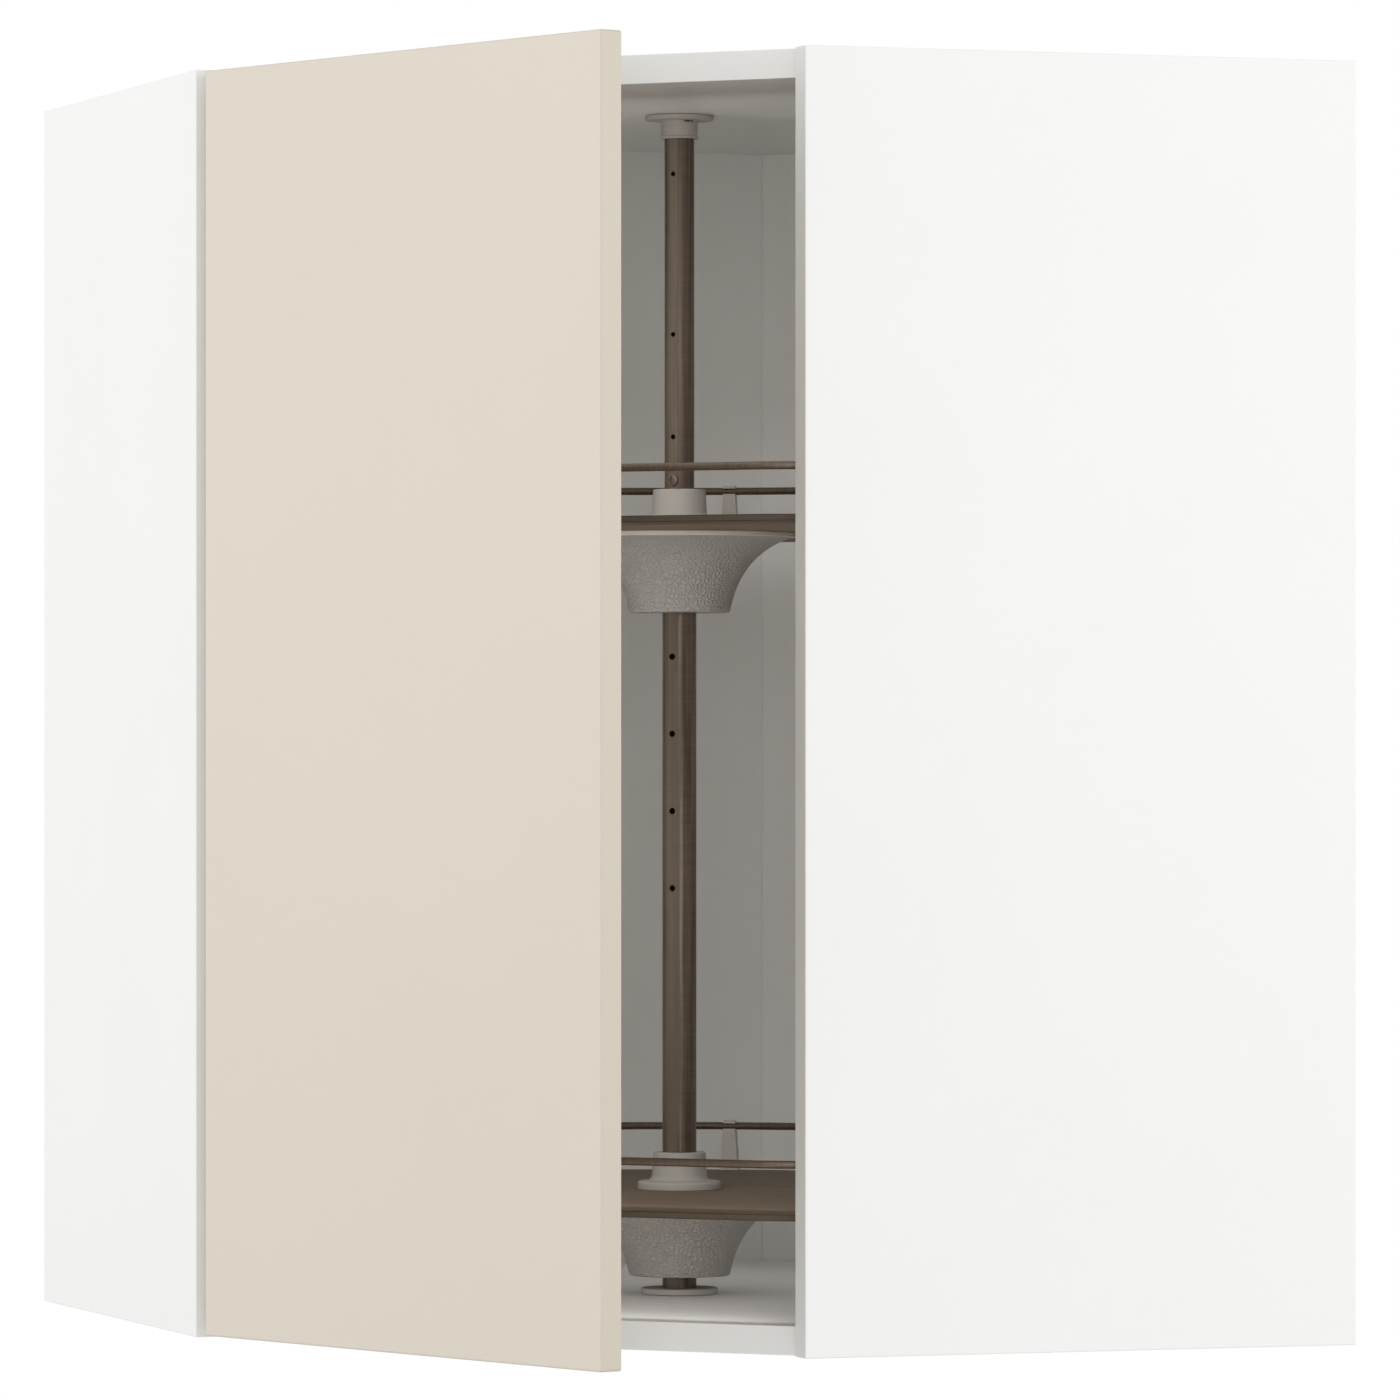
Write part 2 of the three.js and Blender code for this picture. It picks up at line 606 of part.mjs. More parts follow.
const ceiling = HEIGHT - BOARD;
const lowerTubeFoot = BOARD + SEAT + BOTTOM_FLANGE_THICKNESS + SEAT;
const lowerTubeTop = TRAY_TOPS.upper + LOWER_TUBE_ABOVE_TRAY;
const lowerHoles = Array.from({ length: LOWER_HOLE_COUNT }, (_, i) => (
  doorwardHole(LOWER_HOLE_RADIUS, LOWER_HOLE_FIRST + i * LOWER_HOLE_PITCH)
));
const lowerTube = tube(LOWER_TUBE_RADIUS, LOWER_TUBE_WALL, lowerTubeFoot, lowerTubeTop);
place(cabinet, 'lower_tube', cutBy(lowerTube, ...lowerHoles), BRONZE());

const upperTubeFoot = lowerTubeTop - TUBE_OVERLAP;
const upperTubeTop = ceiling - SEAT - TOP_FLANGE_THICKNESS;
const lockScrewZ = TRAY_TOPS.upper + LOCK_SCREW_ABOVE_TRAY;
const upperHoles = UPPER_HOLES_BELOW_TOP.map((drop) => (
  doorwardHole(UPPER_HOLE_RADIUS, ceiling - drop)
));
const upperTube = tube(UPPER_TUBE_RADIUS, UPPER_TUBE_WALL, upperTubeFoot, upperTubeTop);
const lockHole = doorwardHole(2 + SEAT, lockScrewZ);
place(cabinet, 'upper_tube', cutBy(upperTube, ...upperHoles, lockHole), BRONZE());

const lockScrew = crossScrew(3.9, 2.2, 2, 6, 16).rotateY(QUARTER_TURN).rotateZ(DOOR_FACING);
const lockReach = UPPER_TUBE_RADIUS + SEAT;
place(cabinet, 'locking_screw', lockScrew, STEEL()).position.set(
  lockReach * Math.cos(DOOR_FACING), lockReach * Math.sin(DOOR_FACING), lockScrewZ,
);

// Top flange: a disc with a collar over the upper tube and a spigot into the panel
function topFlange() {
  const z1 = ceiling - SEAT;
  const z0 = z1 - TOP_FLANGE_THICKNESS;
  const bore = UPPER_TUBE_RADIUS + SEAT;
  const body = turned([
    [0, z0 + SEAT],
    [bore, z0 + SEAT],
    [bore, z1 - TOP_COLLAR_LENGTH],
    [TOP_COLLAR_RADIUS + 0.5, z1 - TOP_COLLAR_LENGTH],
    [TOP_COLLAR_RADIUS + 0.5, z1 - TOP_COLLAR_LENGTH + 1],
    [TOP_COLLAR_RADIUS, z1 - TOP_COLLAR_LENGTH + 1.4],
    [TOP_COLLAR_RADIUS, z0],
    [TOP_FLANGE_RADIUS - 0.8, z0],
    [TOP_FLANGE_RADIUS, z0 + 0.8],
    [TOP_FLANGE_RADIUS, z1],
    [SPIGOT_RADIUS, z1],
    [SPIGOT_RADIUS, z1 + SPIGOT_LENGTH - 1],
    [SPIGOT_RADIUS - 1, z1 + SPIGOT_LENGTH],
    [0, z1 + SPIGOT_LENGTH],
  ], 24);
  const latch = box(bore - 0.5, TOP_COLLAR_RADIUS + 1, -3.7, 3.7, z0 - 1.3, z0 - 0.1);
  return cutBy(body, latch.rotateZ(THREE.MathUtils.degToRad(-78)));
}
place(cabinet, 'top_flange', topFlange(), GREY_PLASTIC());

function bottomFlange() {
  const z0 = BOARD + SEAT;
  const z1 = z0 + BOTTOM_FLANGE_THICKNESS;
  const peg = LOWER_TUBE_RADIUS - LOWER_TUBE_WALL - SEAT;
  return turned([
    [0, z0 - SPIGOT_LENGTH],
    [SPIGOT_RADIUS - 1, z0 - SPIGOT_LENGTH],
    [SPIGOT_RADIUS, z0 - SPIGOT_LENGTH + 1],
    [SPIGOT_RADIUS, z0],
    [BOTTOM_FLANGE_RADIUS, z0],
    [BOTTOM_FLANGE_RADIUS, z1 - 0.8],
    [BOTTOM_FLANGE_RADIUS - 0.8, z1],
    [peg, z1],
    [peg, z1 + 14],
    [peg - 1.2, z1 + 15.2],
    [0, z1 + 15.2],
  ], 24);
}
place(cabinet, 'bottom_flange', bottomFlange(), GREY_PLASTIC());

// Stop ring: locked on the lower tube, inside the hub that turns on it
const skirtFoot = TRAY_THICKNESS + SEAT + SLEEVE_SKIRT_LENGTH - TRAY_THICKNESS;
for (const [level, top] of Object.entries(TRAY_TOPS)) {
  const z1 = top - skirtFoot - SEAT;
  const z0 = z1 - STOP_RING_HEIGHT;
  const stop = ring([
    [HUB_BORE, z0],
    [SLEEVE_SKIRT_RADIUS, z0],
    [SLEEVE_SKIRT_RADIUS, z1],
    [HUB_BORE, z1],
  ], 24);
  place(cabinet, `${level}_stop_ring`, stop, GREY_PLASTIC());
}

// ---- Trays -----------------------------------------------------------------

// Tray frame: x along the front edge, y to the back; half round behind, flat in front
function trayOutline(inset) {
  const side = TRAY_RADIUS - inset;
  const flat = TRAY_FRONT - inset;
  const corner = TRAY_CORNER - inset;
  const shape = new THREE.Shape();
  shape.moveTo(0, -flat);
  shape.absarc(side - corner, corner - flat, corner, -QUARTER_TURN, 0, false);
  shape.absarc(0, 0, side, 0, QUARTER_TURN, false);
  shape.absarc(0, 0, side, QUARTER_TURN, HALF_TURN, false);
  shape.absarc(corner - side, corner - flat, corner, HALF_TURN, 3 * QUARTER_TURN, false);
  shape.closePath();
  return shape;
}

// The rail's centre line, as a closed curve in space
class RailLine extends THREE.Curve {
  constructor() {
    super();
    this.plan = trayOutline(RAIL_INSET);
    this.arcLengthDivisions = 1200;
  }

  getPoint(share, target = new THREE.Vector3()) {
    const point = this.plan.getPointAt(share);
    return target.set(point.x, point.y, 0);
  }

  // Taken across the joint as well, so that the last ring of the rail falls on the first
  getTangent(share, target = new THREE.Vector3()) {
    const step = 1e-4;
    const behind = this.getPoint((share + 1 - step) % 1);
    const ahead = this.getPoint((share + step) % 1);
    return target.subVectors(ahead, behind).normalize();
  }
}

// A tube around a closed line has no ends, so its two lids are left off
function closedTube(line, radius, steps, sides) {
  const section = new THREE.Shape();
  for (let i = 0; i < sides; i += 1) {
    const angle = (i + 0.5) * 2 * HALF_TURN / sides;
    const [x, y] = [radius * Math.cos(angle), radius * Math.sin(angle)];
    if (i) section.lineTo(x, y);
    else section.moveTo(x, y);
  }
  section.closePath();
  const swept = new THREE.ExtrudeGeometry(section, { steps, extrudePath: line });
  const walls = swept.groups.find((group) => group.materialIndex === 1);
  const flat = swept.index ? swept.toNonIndexed() : swept;
  const corners = flat.attributes.position.array.slice(
    3 * walls.start, 3 * (walls.start + walls.count),
  );
  const geometry = new THREE.BufferGeometry();
  geometry.setAttribute('position', new THREE.BufferAttribute(corners, 3));
  const closed = mergeVertices(geometry, 1e-2).toNonIndexed();
  closed.computeVertexNormals();
  return closed;
}

// Where the clips stand: on the half round behind, and on the straight sides in front
const railSide = TRAY_RADIUS - RAIL_INSET;
const CLIP_PLACES = CLIP_BEARINGS.flatMap((bearing) => [-1, 1].map((side) => {
  const angle = QUARTER_TURN + side * THREE.MathUtils.degToRad(bearing);
  return { x: railSide * Math.cos(angle), y: railSide * Math.sin(angle), turn: angle };
})).concat([-1, 1].map((side) => (
  { x: side * railSide, y: -CLIP_FORWARD, turn: side > 0 ? 0 : HALF_TURN }
)));

// Clip: a tapered upright with a foot, a peg in the tray and a jaw open to the inside
function railClip() {
  const top = RAIL_RISE + RAIL_RADIUS + CLIP_LIP;
  const shape = outline([
    [-CLIP_FOOT / 2 + 0.6, SEAT],
    [CLIP_FOOT / 2 - 0.6, SEAT],
    [CLIP_TOP / 2, top],
    [-CLIP_TOP / 2, top],
  ]);
  const stem = extruded(shape, -CLIP_DEPTH / 2, CLIP_DEPTH / 2);
  stem.rotateX(QUARTER_TURN).rotateZ(QUARTER_TURN);
  const half = CLIP_FOOT / 2;
  const foot = box(-CLIP_DEPTH / 2 - 1.5, CLIP_DEPTH / 2 + 1.5, -half, half, SEAT, 1.6);
  const peg = upright(CLIP_PEG_RADIUS, -TRAY_THICKNESS, 1, 8);
  const seat = new THREE.CylinderGeometry(
    RAIL_RADIUS + SEAT, RAIL_RADIUS + SEAT, CLIP_FOOT * 2, 16,
  ).translate(0, 0, RAIL_RISE);
  const jaw = RAIL_RADIUS * 0.72;
  const opening = box(-CLIP_DEPTH, 0, -CLIP_FOOT, CLIP_FOOT, RAIL_RISE - jaw, RAIL_RISE + jaw);
  return cutBy(joined(stem, foot, peg), seat, opening);
}

function trayPlate() {
  const r = TRAY_EDGE_ROUND;
  const plate = new THREE.ExtrudeGeometry(trayOutline(r), {
    depth: TRAY_THICKNESS - 2 * r,
    bevelEnabled: true,
    bevelThickness: r,
    bevelSize: r,
    bevelSegments: 1,
    curveSegments: 7,
  }).translate(0, 0, r - TRAY_THICKNESS);
  const pegs = CLIP_PLACES.map(({ x, y }) => (
    upright(CLIP_PEG_RADIUS + SEAT, -TRAY_THICKNESS - 1, 1, 12).translate(x, y, 0)
  ));
  const hub = upright(SLEEVE_SKIRT_RADIUS + SEAT, -TRAY_THICKNESS - 1, 1, 32);
  return cutBy(plate, hub, ...pegs);
}

// Upper half of the hub: a flange on the tray, a tapered sleeve and a skirt through the tray
function hubSleeve() {
  const z0 = SEAT;
  const shoulder = z0 + SLEEVE_FLANGE_THICKNESS;
  const round = 1.6;
  const fillet = 4;
  const edge = [0, 45, 90].map((degrees) => {
    const angle = THREE.MathUtils.degToRad(degrees);
    return [
      SLEEVE_FLANGE_RADIUS - round + round * Math.cos(angle),
      shoulder - round + round * Math.sin(angle),
    ];
  });
  const hollow = [0, 45, 90].map((degrees) => {
    const angle = THREE.MathUtils.degToRad(degrees);
    return [
      SLEEVE_RADIUS + fillet - fillet * Math.sin(angle),
      shoulder + fillet - fillet * Math.cos(angle),
    ];
  });
  return ring([
    [HUB_BORE, -skirtFoot],
    [SLEEVE_SKIRT_RADIUS, -skirtFoot],
    [SLEEVE_SKIRT_RADIUS, z0],
    [SLEEVE_FLANGE_RADIUS, z0],
    ...edge,
    ...hollow,
    [SLEEVE_TOP_RADIUS, SLEEVE_HEIGHT - 0.7],
    [SLEEVE_TOP_RADIUS - 0.7, SLEEVE_HEIGHT],
    [HUB_BORE, SLEEVE_HEIGHT],
  ], 24);
}

// Lower half of the hub: a trumpet-shaped moulding under the tray
function hubBell() {
  const z1 = -TRAY_THICKNESS - SEAT;
  const z0 = z1 - BELL_HEIGHT;
  const flare = new THREE.QuadraticBezierCurve(
    new THREE.Vector2(BELL_RIM_RADIUS - 2.6, z1 - BELL_RIM_THICKNESS),
    new THREE.Vector2(BELL_FOOT_RADIUS + 7, z1 - 14),
    new THREE.Vector2(BELL_FOOT_RADIUS, z0 + 1.4),
  );
  const pocket = SLEEVE_SKIRT_RADIUS + SEAT;
  const pocketFloor = -skirtFoot - SEAT - STOP_RING_HEIGHT - SEAT;
  return ring([
    [pocket, z1],
    [pocket, pocketFloor],
    [HUB_BORE, pocketFloor],
    [HUB_BORE, z0],
    [BELL_FOOT_RADIUS - 1.6, z0],
    ...flare.getPoints(7).reverse().map((point) => [point.x, point.y]),
    [BELL_RIM_RADIUS, z1 - BELL_RIM_THICKNESS],
    [BELL_RIM_RADIUS, z1],
  ], 32);
}

for (const [level, top] of Object.entries(TRAY_TOPS)) {
  const tray = new THREE.Group();
  tray.position.z = top;
  tray.rotation.z = DOOR_FACING + QUARTER_TURN;
  cabinet.add(tray);
  place(tray, `${level}_tray`, trayPlate(), BROWN_TRAY());
  place(tray, `${level}_hub_sleeve`, hubSleeve(), GREY_PLASTIC());
  place(tray, `${level}_hub_bell`, hubBell(), GREY_PLASTIC());
  const rail = closedTube(new RailLine(), RAIL_RADIUS, RAIL_STEPS, RAIL_SIDES);
  place(tray, `${level}_rail`, rail, BRONZE()).position.z = RAIL_RISE;
  CLIP_PLACES.forEach(({ x, y, turn }, i) => {
    const clip = place(tray, `${level}_rail_clip_${i + 1}`, railClip(), GREY_PLASTIC());
    clip.position.set(x, y, 0);
    clip.rotation.z = turn;
  });
}

export default cabinet;
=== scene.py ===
# %% [markdown]
# # A corner wall cabinet with a two-tray carousel
#
# The cabinet hangs in a corner of the room. Its white carcass has five sides, a beige door closes
# the diagonal, and behind the door two brown trays turn on a round post.
#
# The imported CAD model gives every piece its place. This file dresses it: most pieces are made
# again as smooth surfaces from short formulas, and every piece gets a finish that follows the real
# one. Lengths are written in millimetres, as on a drawing, and become metres when a mesh is made.

import math

import bpy
import numpy as np
from mathutils import Matrix, Vector


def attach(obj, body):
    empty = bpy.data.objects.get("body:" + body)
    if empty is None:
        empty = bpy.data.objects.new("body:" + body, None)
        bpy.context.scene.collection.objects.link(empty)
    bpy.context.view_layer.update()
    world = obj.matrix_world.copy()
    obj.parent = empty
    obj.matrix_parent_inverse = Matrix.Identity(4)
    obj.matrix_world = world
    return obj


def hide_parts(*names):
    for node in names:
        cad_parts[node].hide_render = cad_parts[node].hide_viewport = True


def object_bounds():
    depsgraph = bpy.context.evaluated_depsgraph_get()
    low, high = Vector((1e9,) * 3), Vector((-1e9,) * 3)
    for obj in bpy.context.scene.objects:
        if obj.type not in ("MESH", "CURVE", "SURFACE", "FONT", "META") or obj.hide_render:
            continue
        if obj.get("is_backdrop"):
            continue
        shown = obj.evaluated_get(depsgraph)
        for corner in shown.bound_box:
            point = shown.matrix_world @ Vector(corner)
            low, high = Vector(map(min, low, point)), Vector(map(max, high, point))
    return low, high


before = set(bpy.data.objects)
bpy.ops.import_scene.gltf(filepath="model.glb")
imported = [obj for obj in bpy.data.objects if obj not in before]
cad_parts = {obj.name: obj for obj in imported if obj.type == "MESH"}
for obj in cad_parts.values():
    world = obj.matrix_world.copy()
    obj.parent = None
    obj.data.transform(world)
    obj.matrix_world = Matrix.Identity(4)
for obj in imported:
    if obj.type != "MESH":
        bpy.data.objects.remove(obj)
cad_low, cad_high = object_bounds()
print("CAD box in mm", [round(1000 * (b - a)) for a, b in zip(cad_low, cad_high)])

# %% [markdown]
# ## The camera
#
# The photograph was taken with a long lens from 5.4 m away, at about the middle of the cabinet's
# height. The lens axis is level, so upright edges stay upright, and the picture is shifted a
# little instead of the camera being tilted. The place and the lens come from the corners of the
# boards.

# %% Camera
CAMERA_PLACE = (-1.8047, -5.0968, 0.3729)
CAMERA_TURN = math.radians(-18.953)  # from looking along +Y
CAMERA_LENS = 214.37
CAMERA_SHIFT = (0.0714, 0.0331)

camera_data = bpy.data.cameras.new("camera")
camera_data.sensor_width = 36
camera_data.lens = CAMERA_LENS
camera_data.shift_x, camera_data.shift_y = CAMERA_SHIFT
camera_data.clip_end = 50
camera = bpy.data.objects.new("camera", camera_data)
camera.location = CAMERA_PLACE
camera.rotation_euler = (math.pi / 2, 0, CAMERA_TURN)
bpy.context.scene.collection.objects.link(camera)
bpy.context.scene.camera = camera
print("camera", round((camera.location - Vector((0, 0, 0.4))).length, 2), "m from the post")

# %% [markdown]
# ## Shader sums that read as Python
#
# A finish is a small calculation: a noise, scaled, added to a number, fed to the roughness. Node
# by node that is hard to read. The class below wraps one output socket, so that
# `0.4 + 0.1 * grain` adds the two Math nodes by itself. A second class adds all other nodes.


# %% A wire that can be added and multiplied
def both_ways(operation):
    """Two methods for one operator: with the wire on its left, and on its right."""
    return (
        lambda wire, other: wire.math(operation, wire, other),
        lambda wire, other: wire.math(operation, other, wire),
    )


class Wire:
    """One output socket. Arithmetic on it adds Math nodes."""

    def __init__(self, tree, socket):
        self.tree = tree
        self.socket = socket

    def math(self, operation, *terms, clamp=False):
        node = self.tree.nodes.new("ShaderNodeMath")
        node.operation = operation
        node.use_clamp = clamp
        for slot, term in zip(node.inputs, terms):
            if isinstance(term, Wire):
                self.tree.links.new(term.socket, slot)
            else:
                slot.default_value = term
        return Wire(self.tree, node.outputs[0])

    __add__, __radd__ = both_ways("ADD")
    __sub__, __rsub__ = both_ways("SUBTRACT")
    __mul__, __rmul__ = both_ways("MULTIPLY")
    __truediv__, __rtruediv__ = both_ways("DIVIDE")
    __pow__, __rpow__ = both_ways("POWER")

    def held(self):
        """The same value, kept between 0 and 1."""
        return self.math("ADD", self, 0.0, clamp=True)


# %% One method for every other node
class Nodes:
    """A node tree, and the method that adds a node to it."""

    def __init__(self, tree):
        self.tree = tree

    def node(self, kind, settings=(), sockets=(), output=0):
        """Adds a node: its settings first, then a value or a wire on each socket."""
        made = self.tree.nodes.new("ShaderNode" + kind)
        for key, value in dict(settings).items():
            setattr(made, key, value)
        for key, value in dict(sockets).items():
            if isinstance(value, Wire):
                self.tree.links.new(value.socket, made.inputs[key])
            else:
                made.inputs[key].default_value = value
        return Wire(self.tree, made.outputs[output]) if made.outputs else made

    def vector(self, operation, *terms, output="Vector"):
        """A sum on vectors, by one Vector Math node."""
        return self.node("VectorMath", {"operation": operation}, enumerate(terms), output)


# %% A finish
class Finish(Nodes):
    """A material: one Principled shader, its constants, and what is fed to it."""

    def __init__(self, name, constants=()):
        self.material = bpy.data.materials.new(name)
        self.material.use_nodes = True
        super().__init__(self.material.node_tree)
        self.shader = self.tree.nodes["Principled BSDF"]
        for socket, value in dict(constants).items():
            self.shader.inputs[socket].default_value = value

    def feed(self, socket, wire):
        self.tree.links.new(wire.socket, self.shader.inputs[socket])

    def place(self, turn=(0, 0, 0), stretch=(1, 1, 1)):
        """Object coordinates in metres, turned and then stretched."""
        here = self.node("TexCoord", output="Object")
        turned = self.node("Mapping", {"vector_type": "POINT"}, {"Vector": here, "Rotation": turn})
        return self.node("Mapping", {"vector_type": "POINT"}, {"Vector": turned, "Scale": stretch})

    def noise(self, where, scale, detail=2.0):
        """Cloudy noise from 0 to 1, with `scale` lumps to a metre."""
        return self.node("TexNoise", {}, {"Vector": where, "Scale": scale, "Detail": detail})

    def between(self, share, first, second):
        """A colour between two colours, by a wire from 0 to 1."""
        colours = {0: share, 6: first, 7: second}
        return self.node("Mix", {"data_type": "RGBA"}, colours, output=2)

    def bump(self, height, depth, strength=1.0):
        """A relief: `height` runs from 0 to 1 over `depth` metres."""
        relief = {"Height": height, "Distance": depth, "Strength": strength}
        return self.node("Bump", {}, relief)


def paint(red, green, blue):
    """A screen colour from 0 to 255 as the linear colour that a shader takes."""
    value = np.array([red, green, blue]) / 255
    linear = np.where(value <= 0.04045, value / 12.92, ((value + 0.055) / 1.055) ** 2.4)
    return (*linear.tolist(), 1.0)


print("mid grey", [round(v, 3) for v in paint(128, 128, 128)])

# %% [markdown]
# ## Finishes
#
# **White board.** The carcass is chipboard in a white melamine foil. The foil is nearly matt, with
# a very fine pearl that is pressed in from a textured sheet. Two scales of noise do it: a broad
# one that moves the white by a hair, and a fine one for the pearl.


# %% White board
def white_board_finish(name, white, roughness):
    finish = Finish(name, {"Specular IOR Level": 0.4})
    here = finish.place()
    cloud = finish.noise(here, 6)
    pearl = finish.noise(here, 1400, 3)
    dull = tuple(0.975 * part for part in white[:3]) + (1,)
    finish.feed("Base Color", finish.between(cloud, white, dull))
    finish.feed("Roughness", roughness + 0.12 * (pearl - 0.5))
    finish.feed("Normal", finish.bump(pearl, 0.00003, 0.6))
    return finish.material


WHITE = paint(246, 246, 244)
WHITE_BACK = paint(243, 242, 239)
white_board = white_board_finish("white_board", WHITE, 0.45)
white_back = white_board_finish("white_back", WHITE_BACK, 0.55)
print("white board reflects", round(WHITE[0], 3))

# %% [markdown]
# ** Beige lacquer.** The door is fibreboard under a satin lacquer. Sprayed lacquer dries with a
# soft orange peel, lumps of a few millimetres that are only a few thousandths high, so it shows in
# the gloss and not in the colour. The narrow edges get a painted shade, a tone deeper than the
# faces. They are found by their direction: the dot product of the surface's normal with the way
# the front faces is 1 or -1 on the two broad faces and near 0 on the edges.


# %% Beige lacquer
BEIGE = paint(221, 212, 198)
BEIGE_DEEP = paint(217, 208, 192)
# painted shade on the narrow edges of the door
BEIGE_EDGE_SHADE = paint(207, 198, 182)
DOOR_FACING = math.radians(-135)  # the way that the front of the shut door faces
AJAR = math.radians(25)  # how far open it stands


def beige_lacquer():
    finish = Finish("beige_lacquer", {"Specular IOR Level": 0.45})
    here = finish.place()
    cloud = finish.noise(here, 4)
    peel = finish.noise(here, 320, 1.5)
    fine = finish.noise(here, 1900, 2)
    front = (math.cos(DOOR_FACING - AJAR), math.sin(DOOR_FACING - AJAR), 0)
    normal = finish.node("TexCoord", output="Normal")
    facing = finish.vector("DOT_PRODUCT", normal, front, output="Value")
    # mask of the painted shade on the narrow edges
    edge = (1.5 - 2 * facing.math("ABSOLUTE", facing)).held()
    broad = finish.between(cloud, BEIGE, BEIGE_DEEP)
    finish.feed("Base Color", finish.between(edge, broad, BEIGE_EDGE_SHADE))
    finish.feed("Roughness", 0.4 + 0.1 * (fine - 0.5))
    finish.feed("Normal", finish.bump(0.8 * peel + 0.2 * fine, 0.00005, 0.5))
    return finish.material


beige_front = beige_lacquer()
print("door colour", [round(v, 3) for v in BEIGE[:3]])

# %% [markdown]
# ** Bronze.** Post and rails are steel tube and wire with a bronze-brown metallic coat. Painted
# reflections run up it as long streaks, and the polishing belt leaves fine rings round it. Both
# are noise that is squeezed one way: across the tube for the streaks, along the height for the
# rings. The post also has a painted highlight, a paler band on the side that faces the door, and
# a painted shade, a dark band a little to the right of that, over the real highlight.


# %% Bronze metal
BRONZE = (0.235, 0.185, 0.143, 1)
BRONZE_DARK = (0.13, 0.1, 0.076, 1)
BRONZE_PALE = (0.37, 0.31, 0.25, 1)
RAIL_BRONZE = (0.265, 0.208, 0.16, 1)
RAIL_BRONZE_DARK = (0.145, 0.11, 0.083, 1)
# a painted shade band and a painted highlight band round the post
PAINTED_SHADE_BAND = {"middle": DOOR_FACING + 0.38, "half": 0.16}  # angles round the post, in radians
PAINTED_HIGHLIGHT_BAND = {"middle": DOOR_FACING - 0.12, "half": 0.48}


def band(finish, middle, half):
    """1 at the angle `middle` round the post and 0 from `half` away: 1 less the square of the
    distance over `half`. The angle is the arctangent of y over x."""
    x, y = [finish.node("SeparateXYZ", {}, {0: finish.place()}, output=axis) for axis in "XY"]
    return (1 - ((y.math("ARCTAN2", y, x) - middle) / half) ** 2).held()


def bronze_metal(name, rings, light=BRONZE, dark=BRONZE_DARK):
    finish = Finish(name, {"Metallic": 0.7, "IOR": 1.6})
    fine = finish.noise(finish.place(stretch=(1, 1, 60)), 34 if rings else 60, 3)
    broad = finish.noise(finish.place(stretch=(1, 1, 14)), 8, 2)
    # painted streak reflections that run up the tube
    painted_streaks = finish.noise(finish.place(stretch=(40, 40, 1)), 9, 2)
    mark = (0.2 * fine + 0.1 * broad + 0.7 * painted_streaks).held()
    contrast = 4.5 if rings else 1.2
    share = (0.5 + contrast * (mark - 0.5)).held()
    if rings:
        # painted shade: a dark band round the post that darkens its highlight
        share = (share + 0.8 * band(finish, **PAINTED_SHADE_BAND)).held()
    tone = finish.between(share, light, dark)
    if rings:
        # painted highlight: a paler band on the side that faces the door
        tone = finish.between(0.6 * band(finish, **PAINTED_HIGHLIGHT_BAND), tone, BRONZE_PALE)
    finish.feed("Base Color", tone)
    finish.feed("Roughness", (0.34 + 0.16 * mark).held())
    finish.feed("Normal", finish.bump(fine, 0.00002, 0.35 if rings else 0.1))
    return finish.material


bronze_post = bronze_metal("bronze_post", True)
bronze_wire = bronze_metal("bronze_wire", False, RAIL_BRONZE, RAIL_BRONZE_DARK)
bronze_screw = bronze_metal("bronze_screw", False, BRONZE_PALE, BRONZE)
print("bronze", BRONZE[:3])

# %% [markdown]
# ** Brown tray.** The trays are sheet with a satin brown foil and a faint streak that runs across
# the cabinet, like the figure of a dark wood. The streak follows the tray's straight front edge,
# which lies at 45 degrees in the cabinet. The rim is darker than the faces, by painted shade. It
# is where the surface's normal has a small upward part, of either sign. On the arris between them,
# where that part is about 0.6, a thin dark line of painted shade runs.


# %% Brown tray
TRAY_BROWN = paint(133, 116, 98)
TRAY_DARK = paint(114, 98, 81)
# painted shade on the tray's rim, and a painted dark line along its arrises
TRAY_RIM_SHADE = paint(98, 88, 76)
TRAY_ARRIS_SHADE = paint(52, 45, 38)


def brown_sheet():
    finish = Finish("brown_tray", {"Specular IOR Level": 0.15})
    along = finish.place(turn=(0, 0, math.pi / 4), stretch=(1, 22, 22))
    streak = finish.noise(along, 7, 4)
    fine = finish.noise(along, 40, 2)
    share = (2.2 * (0.75 * streak + 0.25 * fine) - 0.6).held()
    normal = finish.node("TexCoord", output="Normal")
    upward = finish.node("SeparateXYZ", {}, {0: normal}, output="Z")
    level = upward.math("ABSOLUTE", upward)
    tone = finish.between(share, TRAY_DARK, TRAY_BROWN)
    # painted shade on the rim
    tone = finish.between((1.5 - 2 * level).held(), tone, TRAY_RIM_SHADE)
    # painted shade line along the arris
    line = (4 - 100 * (level - 0.6) ** 2).held()
    finish.feed("Base Color", finish.between(line, tone, TRAY_ARRIS_SHADE))
    finish.feed("Roughness", 0.5 + 0.12 * fine)
    finish.feed("Normal", finish.bump(fine, 0.00002, 0.2))
    return finish.material


brown_tray = brown_sheet()
print("tray browns", [round(v, 3) for v in TRAY_BROWN[:3]], [round(v, 3) for v in TRAY_DARK[:3]])

# %% [markdown]
# ** Grey plastic.** Hubs and flanges are injection mouldings in a warm grey, and the rail clips are
# paler. The large bells are moulded with a leather-like grain: cells about 3 mm wide with soft
# valleys between them. The grain stops at the bell's smooth rim, which a painted highlight makes
# pale; the rim is found by its distance from the post. The smaller pieces only have the fine
# eroded texture of the mould.


# %% Grey plastic
PLASTIC = paint(186, 181, 174)
PALE_PLASTIC = paint(222, 216, 207)
# the smooth rim of a bell has no grain and gets a painted highlight
SMOOTH_LIT_RIM_START = 0.0735  # from the post to the smooth rim of a bell, in metres
SMOOTH_LIT_RIM_BLEND = 0.0008


